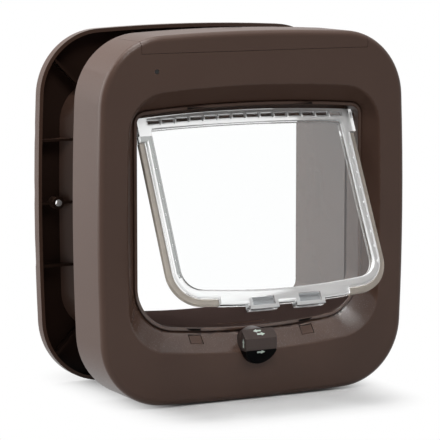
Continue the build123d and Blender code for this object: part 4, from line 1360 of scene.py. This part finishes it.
    def part_faces(self, mesh: bpy.types.Mesh) -> None:
        """Cuts the pane's faces where its finish changes: under the bar, round the magnets, across the slots.

        Args:
            mesh: The mesh of the pane.
        """
        work = bmesh.new()
        work.from_mesh(mesh)
        start = self.spot(0.0, self.bar_bottom, 0.0)
        along = (self.spot(0.0, self.bar_bottom + 1.0, 0.0) - start).normalized()
        length, height = self.magnet_size
        cuts = [(start, along)]
        cuts += [(self.spot(0.0, self.magnet_down + end * height / 2, 0.0), along) for end in (-1, 1)]
        cuts += [(self.spot(side * self.magnet_x + end * length / 2, 0.0, 0.0), Vector((1, 0, 0)))
                 for side in (-1, 1) for end in (-1, 1)]
        for place, way in cuts:
            bmesh.ops.bisect_plane(work, geom=work.verts[:] + work.edges[:] + work.faces[:], plane_co=place,
                                   plane_no=way)
        for index in range(self.slot_count):
            x = (index - (self.slot_count - 1) / 2) * self.slot_pitch
            reach = self.slot_pitch / 2
            floors = [face for face in work.faces
                      if abs(face.calc_center_median().x / MM - x) < reach
                      and self.on_floor(face.calc_center_median() / MM)]
            parts = {part for face in floors for part in (face, *face.edges, *face.verts)}
            bmesh.ops.bisect_plane(work, geom=list(parts), plane_co=self.spot(x, self.slot_level(x), 0.0),
                                   plane_no=along)
        work.to_mesh(mesh)
        work.free()

    def nub_tree(self) -> bpy.types.NodeTree:
        """Builds the tree that sets a flattened dome on each point.

        Returns:
            The geometry tree.
        """
        tree, sizes = open_tree("rim_nub_row", ["Radius", "Slant"])
        dome = add_node(tree, "GeometryNodeMeshUVSphere",
                        {"Segments": 14, "Rings": 8, "Radius": sizes.outputs["Radius"]})
        lean = add_node(tree, "ShaderNodeCombineXYZ", {"X": sizes.outputs["Slant"]})
        row = add_node(tree, "GeometryNodeInstanceOnPoints",
                       {"Points": sizes.outputs["Geometry"], "Instance": dome.outputs["Mesh"],
                        "Rotation": lean.outputs["Vector"], "Scale": self.nub_form})
        # The nubs take the rim's painted highlight.
        close_tree(tree, row.outputs["Instances"], CLEAR_RIM_PAINTED_LIGHT)
        return tree

    def build_nubs(self, bench: Bench) -> None:
        """Makes the nubs that stiffen both side rims.

        Args:
            bench: The workbench.
        """
        spots = [self.spot(side * self.rim_x, self.nub_start + step * self.nub_pitch, self.rim_front)
                 for side in (-1, 1) for step in range(self.nub_count)]
        nubs = bench.grow("flap_rim_nubs", point_mesh("nub_spots", spots), self.nub_tree(),
                          {"Radius": self.nub_radius * MM, "Slant": radians(-self.open_deg)})
        nubs.data.shade_smooth()
        nubs.visible_shadow = False
        bench.settle(nubs, Body.FLAP, CLEAR_RIM_PAINTED_LIGHT)

    def build(self, bench: Bench) -> None:
        """Dresses the pane, nubs, seals and magnets.

        Args:
            bench: The workbench.
        """
        pane = bench.copy_node("flap_pane", self.edge_round)
        self.part_faces(pane.data)
        bench.settle(pane, Body.FLAP, CLEAR_PANE, "flap_pane")
        # Painted highlight: the hinge bar and the rim are drawn milky white.
        bench.repaint(pane, CLEAR_RIM_PAINTED_LIGHT, self.on_painted_highlight)
        # Painted shade: the left rim's front is drawn grey.
        bench.repaint(pane, CLEAR_FRONT_PAINTED_SHADE, self.on_rim_front)
        # Painted shade: the rim edges that look right are drawn grey.
        bench.repaint(pane, CLEAR_EDGE_PAINTED_SHADE, self.on_shaded_rim_edge)
        # Light goes through the clear pane, so it throws no shadow on the dish and the tunnel.
        pane.visible_shadow = False
        self.build_nubs(bench)
        for side in ("left", "right"):
            bench.dress_node(f"flap_seal_{side}", Body.FLAP, SEAL_GREY, self.seal_round)
            bench.dress_node(f"flap_magnet_{side}", Body.FLAP, MAGNET_PLATED, self.magnet_round)


@dataclass
class LockKnob:
    """The four-way lock: a knob with printed arrows and painted shade below its grip, its cam and its screw.

    Attributes:
        rise: Height of the knob's axis, in millimetres.
        radius: Radius of the drum and half width of the squared top.
        front: Y of the knob's front.
        grip_top: Upper edge of the grip bar over the axis.
        grip_bottom: Lower edge of the grip bar under the axis.
        upper_end: Y and height over the axis at which the upper flat ends.
        lower_end: Y and height over the axis at which the lower flat ends.
        face_y: Y in front of which the knob's face lies.
        shade_reach: How far above the grip bar's lower edge the middle of a face painted with shade may lie.
        shade_turn: Z of a normal under which a face looks down.
        icon_middle: Y and height over the axis of the middle of a side's arrow.
        pair_offset: How far the paired arrows lie from the middle of their icon, across and up.
        upper_share: How far up the upper flat its icon lies, from 0 to 1.
        lower_share: How far up the lower flat its arrow lies, from 0 to 1.
        arrow_length: Length of a printed arrow.
        arrow_shaft: Width of its shaft.
        arrow_head: Width and length of its head.
        ink_mm: Height of the ink.
    """

    rise: float = -94.5
    radius: float = 12.5
    front: float = -51.5
    grip_top: float = 6.2
    grip_bottom: float = 2.0
    upper_end: tuple[float, float] = (-43.5, 13.3)
    lower_end: tuple[float, float] = (-46.5, -13.3)
    face_y: float = -40.0
    shade_reach: float = 0.1
    shade_turn: float = -0.2
    icon_middle: tuple[float, float] = (-48.0, 3.2)
    pair_offset: tuple[float, float] = (1.1, 1.5)
    upper_share: float = 0.5
    lower_share: float = 0.86
    arrow_length: float = 6.2
    arrow_shaft: float = 1.3
    arrow_head: float = 3.0
    ink_mm: float = 0.04

    def below_grip(self, middle: Vector, normal: Vector) -> bool:
        """Says if a face is on the flat below the grip bar, painted near black as shade.

        Args:
            middle: The face's middle, in millimetres.
            normal: The face's normal.

        Returns:
            True for the lower half of the knob's face.
        """
        below = middle.z < self.rise - self.grip_bottom + self.shade_reach
        return middle.y < self.face_y and below and normal.z < self.shade_turn

    def arrow(self, across: float, up: float, turn: int) -> list[list[tuple[float, float]]]:
        """Draws one arrow as a shaft and a head.

        Args:
            across: Place of its middle across the icon.
            up: Place of its middle up the icon.
            turn: 1 to point right or -1 to point left.

        Returns:
            The corner points of both polygons, in millimetres.
        """
        tip, half = self.arrow_length / 2, self.arrow_shaft / 2
        neck = tip - self.arrow_head
        shaft = [(-tip, -half), (neck, -half), (neck, half), (-tip, half)]
        head = [(neck, -self.arrow_head / 2), (tip, 0.0), (neck, self.arrow_head / 2)]
        return [[(across + turn * x, up + turn * y) for x, y in corners] for corners in (shaft, head)]

    def on_flat(self, x: float, up: float, start: tuple[float, float], end: tuple[float, float],
                share: float) -> Vector:
        """Finds the point of a slanted flat this far right of and above an icon's middle.

        Args:
            x: Distance to the right, in millimetres.
            up: Distance up the flat.
            start: Y and height over the axis of the flat's lower edge.
            end: Y and height over the axis of its upper edge.
            share: How far up the flat the icon's middle lies, from 0 to 1.

        Returns:
            The point, in metres.
        """
        low, high = Vector((0, *start)), Vector((0, *end))
        slope = (high - low).normalized()
        lift = Vector((1, 0, 0)).cross(slope)
        place = low.lerp(high, share) + slope * up + Vector((x, 0, self.rise))
        return (place + lift * self.ink_mm) * MM

    def on_side(self, up: float, out: float, side: int) -> Vector:
        """Finds the point of a flat side of the knob this far above and in front of the icon's middle.

        Args:
            up: Distance above the icon's middle, in millimetres.
            out: Distance towards the room from the icon's middle.
            side: -1 for the left of the knob, 1 for its right.

        Returns:
            The point, in metres.
        """
        y, z = self.icon_middle
        return Vector((side * (self.radius + self.ink_mm), y - out, self.rise + z + up)) * MM

    def build_arrows(self, bench: Bench) -> None:
        """Prints two arrows on the upper flat of the knob, and one on its lower flat and on each side.

        Args:
            bench: The workbench.
        """
        across, lift = self.pair_offset
        pair = self.arrow(-across, lift, -1) + self.arrow(across, -lift, 1)
        single = self.arrow(0.0, 0.0, 1)
        upper = (self.front, self.grip_top), self.upper_end, self.upper_share
        lower = self.lower_end, (self.front, -self.grip_bottom), self.lower_share
        patches = [[self.on_flat(x, up, *upper) for x, up in corners] for corners in pair]
        patches += [[self.on_flat(x, up, *lower) for x, up in corners] for corners in single]
        for side in (-1, 1):
            patches += [[self.on_side(up, out, side) for up, out in corners] for corners in single]
        work = bmesh.new()
        for patch in patches:
            work.faces.new([work.verts.new(corner) for corner in patch])
        bmesh.ops.recalc_face_normals(work, faces=work.faces)
        mesh = bpy.data.meshes.new("knob_arrows")
        work.to_mesh(mesh)
        work.free()
        bench.settle(bench.new_piece("knob_arrows", mesh), Body.LOCK, ICON_INK)

    def build(self, bench: Bench) -> None:
        """Dresses the knob, arrows, cam and screw.

        Args:
            bench: The workbench.
        """
        knob = bench.dress_node("lock_knob", Body.LOCK, KNOB_SATIN)
        # Painted shade on the lower flat.
        bench.repaint(knob, KNOB_PAINTED_SHADE, self.below_grip)
        self.build_arrows(bench)
        bench.dress_node("lock_cam", Body.LOCK, CAM_BLACK)
        bench.dress_node("knob_screw", Body.LOCK, SCREW_ZINC)


@dataclass
class MotorLatch:
    """The motor latch in the sill: a bar with two lugs, its pinion and motor.

    Attributes:
        lug_x: Distance of a lug's middle from the middle of the sill, in millimetres.
        lug_y: Y of a lug's middle.
        lug_size: Width and thickness of a lug with the gap round it.
        wall_reach: How far outside that a wall of the window may lie.
    """

    lug_x: float = 44.0
    lug_y: float = -36.95
    lug_size: tuple[float, float] = (10.0, 5.1)
    wall_reach: float = 0.1

    def in_gap(self, middle: Vector, normal: Vector) -> bool:
        """Says if a face is an upright wall of a lug's window, painted near black as shade.

        Args:
            middle: The face's middle, in millimetres.
            normal: The face's normal.

        Returns:
            True for the walls of the windows.
        """
        width, thickness = self.lug_size
        across, along = abs(abs(middle.x) - self.lug_x), abs(middle.y - self.lug_y)
        near = across < width / 2 + self.wall_reach and along < thickness / 2 + self.wall_reach
        return near and abs(normal.z) < MOSTLY

    def build(self, bench: Bench) -> None:
        """Dresses the latch bar, pinion and motor.

        Args:
            bench: The workbench.
        """
        bench.dress_node("latch_bar", Body.LATCH, BROWN_SATIN)
        bench.dress_node("latch_pinion", Body.PINION, PINION_WHITE)
        bench.dress_node("latch_motor", Body.FRAME, MOTOR_NICKEL)


@dataclass
class BatteryBay:
    """The battery bay along the top: cover, tray, four cells, contacts, circuit board and learn button.

    Attributes:
        cell_count: Number of cells.
        cell_end: Length of bare steel at each end of a cell, in millimetres.
        end_turn: X of a normal above which a face looks along a cell.
        plate_width: Width of a contact plate, along Y.
        plate_thickness: Thickness of the contact plates.
        plate_round: Rounding of their edges.
        spring_turns: Turns of a contact spring.
        spring_length: Length of the spring.
        spring_wire: Radius of the spring wire.
        spring_wide: Radius of the spring at its plate.
        spring_narrow: Radius of the spring at its tip.
    """

    cell_count: int = 4
    cell_end: float = 1.4
    end_turn: float = 0.9
    plate_width: float = 13.7
    plate_thickness: float = 0.5
    plate_round: float = 0.15
    spring_turns: float = 4.0
    spring_length: float = 3.6
    spring_wire: float = 0.4
    spring_wide: float = 4.1
    spring_narrow: float = 2.6

    def on_cell_end(self, middle: Vector, normal: Vector, low: Vector, high: Vector) -> bool:
        """Says if a face is at an end of a cell, where the sleeve leaves the steel bare.

        Args:
            middle: The face's middle, in millimetres.
            normal: The face's normal.
            low: Lowest corner of the cell's box.
            high: Highest corner of the cell's box.

        Returns:
            True for the ends of the cell.
        """
        in_sleeve = low.x + self.cell_end < middle.x < high.x - self.cell_end
        return abs(normal.x) > self.end_turn or not in_sleeve

    def build_cells(self, bench: Bench) -> None:
        """Dresses the cells, with bare steel at both ends of each.

        Args:
            bench: The workbench.
        """
        for number in range(1, self.cell_count + 1):
            node = f"battery_cell_{number}"
            low, high = (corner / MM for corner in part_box(node))
            cell = bench.dress_node(node, Body.FRAME, CELL_FOIL)
            bench.repaint(cell, CELL_STEEL,
                          lambda middle, normal: self.on_cell_end(middle, normal, low, high))

    def spring_tree(self) -> bpy.types.NodeTree:
        """Builds the tree that winds a conical spring on each point, along the point's facing.

        Returns:
            The geometry tree.
        """
        tree, sizes = open_tree("contact_spring_pair",
                                ["Turns", "Wide Radius", "Narrow Radius", "Length", "Wire Radius"])
        coil = add_node(tree, "GeometryNodeCurveSpiral",
                        {"Resolution": 28, "Rotations": sizes.outputs["Turns"],
                         "Start Radius": sizes.outputs["Wide Radius"],
                         "End Radius": sizes.outputs["Narrow Radius"], "Height": sizes.outputs["Length"]})
        wire = add_node(tree, "GeometryNodeCurvePrimitiveCircle",
                        {"Resolution": 10, "Radius": sizes.outputs["Wire Radius"]})
        spring = add_node(tree, "GeometryNodeCurveToMesh",
                          {"Curve": coil.outputs["Curve"], "Profile Curve": wire.outputs["Curve"],
                           "Fill Caps": True})
        facing = add_node(tree, "GeometryNodeInputNamedAttribute", {"Name": "facing"},
                          data_type="FLOAT_VECTOR")
        turn = add_node(tree, "FunctionNodeAlignRotationToVector", {"Vector": facing.outputs["Attribute"]},
                        axis="Z")
        pair = add_node(tree, "GeometryNodeInstanceOnPoints",
                        {"Points": sizes.outputs["Geometry"], "Instance": spring.outputs["Mesh"],
                         "Rotation": turn.outputs["Rotation"]})
        close_tree(tree, pair.outputs["Instances"], CONTACT_NICKEL)
        return tree

    def build_contacts(self, bench: Bench) -> None:
        """Makes the four contact plates and the two springs on them.

        Args:
            bench: The workbench.
        """
        low, high = (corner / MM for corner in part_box("battery_contacts"))
        rows = ((low.y, low.y + self.plate_width), (high.y - self.plate_width, high.y))
        work = bmesh.new()
        for start in (low.x, high.x - self.plate_thickness):
            for front, rear in rows:
                lowest = Vector((start, front, low.z))
                size = Vector((self.plate_thickness, rear - front, high.z - low.z))
                place = Matrix.Translation((lowest + size / 2) * MM) @ Matrix.Diagonal((*(size * MM), 1.0))
                bmesh.ops.create_cube(work, size=1.0, matrix=place)
        bmesh.ops.bevel(work, geom=work.edges[:], offset=self.plate_round * MM, segments=2, affect="EDGES")
        mesh = bpy.data.meshes.new("battery_contact_plates")
        work.to_mesh(mesh)
        work.free()
        plates = bench.new_piece("battery_contact_plates", mesh)
        bench.shade(plates)
        bench.settle(plates, Body.FRAME, CONTACT_NICKEL, "battery_contacts")
        middle_z = (low.z + high.z) / 2
        left = Vector((low.x + self.plate_thickness, sum(rows[0]) / 2, middle_z)) * MM
        right = Vector((high.x - self.plate_thickness, sum(rows[1]) / 2, middle_z)) * MM
        spots = point_mesh("spring_spots", [left, right])
        facing = spots.attributes.new("facing", "FLOAT_VECTOR", "POINT")
        facing.data[0].vector = (1.0, 0.0, 0.0)
        facing.data[1].vector = (-1.0, 0.0, 0.0)
        springs = bench.grow("battery_contact_springs", spots, self.spring_tree(),
                             {"Turns": self.spring_turns, "Wide Radius": self.spring_wide * MM,
                              "Narrow Radius": self.spring_narrow * MM,
                              "Length": self.spring_length * MM, "Wire Radius": self.spring_wire * MM})
        springs.data.shade_smooth()
        bench.settle(springs, Body.FRAME, CONTACT_NICKEL)

    def build(self, bench: Bench) -> None:
        """Dresses the whole bay.

        Args:
            bench: The workbench.
        """
        cover = bench.dress_node("battery_cover", Body.COVER, BROWN_SATIN)
        bench.repaint(cover, BROWN_COARSE, faces_up)
        bench.dress_node("battery_tray", Body.FRAME, TRAY_BLACK)
        self.build_cells(bench)
        self.build_contacts(bench)
        bench.dress_node("circuit_board", Body.FRAME, BOARD_GREEN)
        bench.dress_node("learn_button", Body.BUTTON, BUTTON_GREY)


@dataclass
class AreaLamp:
    """A soft square lamp aimed at the object.

    Attributes:
        name: The lamp's name.
        place: Where it hangs, in metres.
        width: Its side, in metres.
        power: Its power, in watts.
    """

    name: str
    place: tuple[float, float, float]
    width: float
    power: float

    def hang(self) -> None:
        """Adds the lamp to the scene, aimed at the origin."""
        data = bpy.data.lights.new(self.name, "AREA")
        data.shape = "SQUARE"
        data.size = self.width
        data.energy = self.power
        lamp = bpy.data.objects.new(self.name, data)
        lamp.location = self.place
        lamp.rotation_mode = "QUATERNION"
        lamp.rotation_quaternion = (-Vector(self.place)).to_track_quat("-Z", "Y")
        bpy.context.scene.collection.objects.link(lamp)


@dataclass
class Studio:
    """A white studio: pale floor, soft lamps, white surroundings and the camera.

    Attributes:
        white: Colour of the surroundings and of the far floor.
        floor_z: Height of the floor, under the frames' lowest edge.
        floor_size: Side of the floor.
        floor_shade: Colour of the floor.
        floor_glow: Light added to the floor as seen, close to the object.
        shadow_patch: Half sizes of the patch of floor under the object, which keeps the whole shadow.
        shadow_fade: Width round it over which the floor turns plain white.
        room_level: Strength of the surroundings as a light.
        lamps: The soft lamps.
        yaw_deg: The camera's turn to the left.
        pitch_deg: The camera's height above the horizon.
        target: The point that the camera looks at.
        distance: Distance of the camera from it.
        lens_px: The lens's length, in pixels of the picture.
        picture_px: Side of the picture, in pixels.
        sensor_mm: Width of the camera's sensor.
        sight_m: Distance as far as which the camera sees.
    """

    white: str = "#ffffff"
    floor_z: float = -0.13255
    floor_size: float = 2.2
    floor_shade: str = "#c2c2c2"
    floor_glow: float = 0.02
    shadow_patch: tuple[float, float, float] = (0.055, 0.075, 1.0)
    shadow_fade: float = 0.06
    room_level: float = 0.15
    lamps: list[AreaLamp] = field(default_factory=lambda: [
        AreaLamp("left_rear_softbox", (-1.4, 0.7, 0.6), 1.8, 43.0),
        AreaLamp("top_softbox", (-0.15, 0.2, 1.6), 0.6, 22.0),
        AreaLamp("front_softbox", (-0.2, -0.9, 1.3), 0.6, 13.5),
        AreaLamp("right_softbox", (0.7, -0.37, 1.3), 0.8, 0.8),
    ])
    yaw_deg: float = 27.25
    pitch_deg: float = 7.64
    target: tuple[float, float, float] = (-0.02902, -0.0445, -0.00424)
    distance: float = 1.66308
    lens_px: float = 2413.83
    picture_px: float = 440.0
    sensor_mm: float = 36.0
    sight_m: float = 50.0

    def seen_rays(self, tree: bpy.types.NodeTree) -> bpy.types.NodeSocket:
        """Finds the rays that show the background: from the camera, off gloss and through clear plastic.

        Args:
            tree: The tree of the floor or of the surroundings.

        Returns:
            A socket that is 1 for such a ray and 0 for one that only lights the object.
        """
        ray = add_node(tree, "ShaderNodeLightPath")
        direct = add_node(tree, "ShaderNodeMath",
                          {0: ray.outputs["Is Camera Ray"], 1: ray.outputs["Is Glossy Ray"]},
                          operation="MAXIMUM")
        seen = add_node(tree, "ShaderNodeMath",
                        {0: direct.outputs[0], 1: ray.outputs["Is Transmission Ray"]}, operation="MAXIMUM")
        return seen.outputs[0]

    def build_room(self) -> None:
        """Makes surroundings that look white but light the object at a plain level."""
        world = bpy.data.worlds.new("white_room")
        bpy.context.scene.world = world
        world.use_nodes = True
        tree = world.node_tree
        tree.nodes.clear()
        level = add_node(tree, "ShaderNodeMapRange",
                         {"Value": self.seen_rays(tree), "To Min": self.room_level, "To Max": 1.0})
        glow = add_node(tree, "ShaderNodeBackground",
                        {"Color": linear(self.white), "Strength": level.outputs["Result"]})
        add_node(tree, "ShaderNodeOutputWorld", {"Surface": glow.outputs["Background"]})

    def build_floor(self) -> None:
        """Lays the pale floor, which stays white as seen but keeps the object's shadow."""
        paint = bpy.data.materials.new("floor_white_paper")
        paint.use_nodes = True
        tree = paint.node_tree
        tree.nodes.clear()
        seen = self.seen_rays(tree)
        place = add_node(tree, "ShaderNodeTexCoord").outputs["Object"]
        side = add_node(tree, "ShaderNodeVectorMath", {0: place}, operation="ABSOLUTE")
        past = add_node(tree, "ShaderNodeVectorMath", {0: side.outputs["Vector"], 1: self.shadow_patch},
                        operation="SUBTRACT")
        beyond = add_node(tree, "ShaderNodeVectorMath", {0: past.outputs["Vector"], 1: (0.0, 0.0, 0.0)},
                          operation="MAXIMUM")
        away = add_node(tree, "ShaderNodeVectorMath", {0: beyond.outputs["Vector"]}, operation="LENGTH")
        fade = add_node(tree, "ShaderNodeMapRange",
                        {"Value": away.outputs["Value"], "From Max": self.shadow_fade},
                        interpolation_type="SMOOTHSTEP")
        white = add_node(tree, "ShaderNodeMath", {0: seen, 1: fade.outputs["Result"]}, operation="MULTIPLY")
        level = add_node(tree, "ShaderNodeMath", {0: seen, 1: self.floor_glow}, operation="MULTIPLY")
        matt = add_node(tree, "ShaderNodeBsdfDiffuse", {"Color": linear(self.floor_shade)})
        glow = add_node(tree, "ShaderNodeEmission",
                        {"Color": linear(self.white), "Strength": level.outputs[0]})
        near = add_node(tree, "ShaderNodeAddShader", {0: matt.outputs["BSDF"], 1: glow.outputs["Emission"]})
        far = add_node(tree, "ShaderNodeEmission", {"Color": linear(self.white), "Strength": 1.0})
        both = add_node(tree, "ShaderNodeMixShader",
                        {0: white.outputs[0], 1: near.outputs["Shader"], 2: far.outputs["Emission"]})
        add_node(tree, "ShaderNodeOutputMaterial", {"Surface": both.outputs["Shader"]})
        half = self.floor_size / 2
        corners = [(-half, -half), (half, -half), (half, half), (-half, half)]
        mesh = bpy.data.meshes.new("floor")
        mesh.from_pydata([(x, y, self.floor_z) for x, y in corners], [], [(0, 1, 2, 3)])
        mesh.materials.append(paint)
        floor = bpy.data.objects.new("floor", mesh)
        bpy.context.scene.collection.objects.link(floor)

    def build_camera(self) -> None:
        """Sets the camera at the photograph's angle."""
        data = bpy.data.cameras.new("photo_camera")
        data.sensor_width = self.sensor_mm
        data.lens = self.lens_px / self.picture_px * data.sensor_width
        data.clip_end = self.sight_m
        yaw, pitch = radians(self.yaw_deg), radians(self.pitch_deg)
        back = Vector((-sin(yaw) * cos(pitch), -cos(yaw) * cos(pitch), sin(pitch)))
        camera = bpy.data.objects.new("photo_camera", data)
        camera.location = Vector(self.target) + back * self.distance
        camera.rotation_mode = "QUATERNION"
        camera.rotation_quaternion = (-back).to_track_quat("-Z", "Y")
        bpy.context.scene.collection.objects.link(camera)
        bpy.context.scene.camera = camera

    def build(self) -> None:
        """Sets up the room, floor, lamps and camera."""
        bpy.context.scene.view_settings.view_transform = "Standard"
        self.build_room()
        self.build_floor()
        for lamp in self.lamps:
            lamp.hang()
        self.build_camera()


def main() -> None:
    """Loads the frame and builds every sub-assembly in order."""
    logging.basicConfig(level=logging.INFO, format="%(message)s")
    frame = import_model()
    bench = Bench(frame["nodes"])
    Studio().build()
    latch = MotorLatch()
    housing = RoomHousing(latch)
    for assembly in (housing, OutsideFrame(housing), ClearFlap(), LockKnob(), latch, BatteryBay()):
        assembly.build(bench)
        log.info("%s done", type(assembly).__name__)


if __name__ == "__main__":
    main()
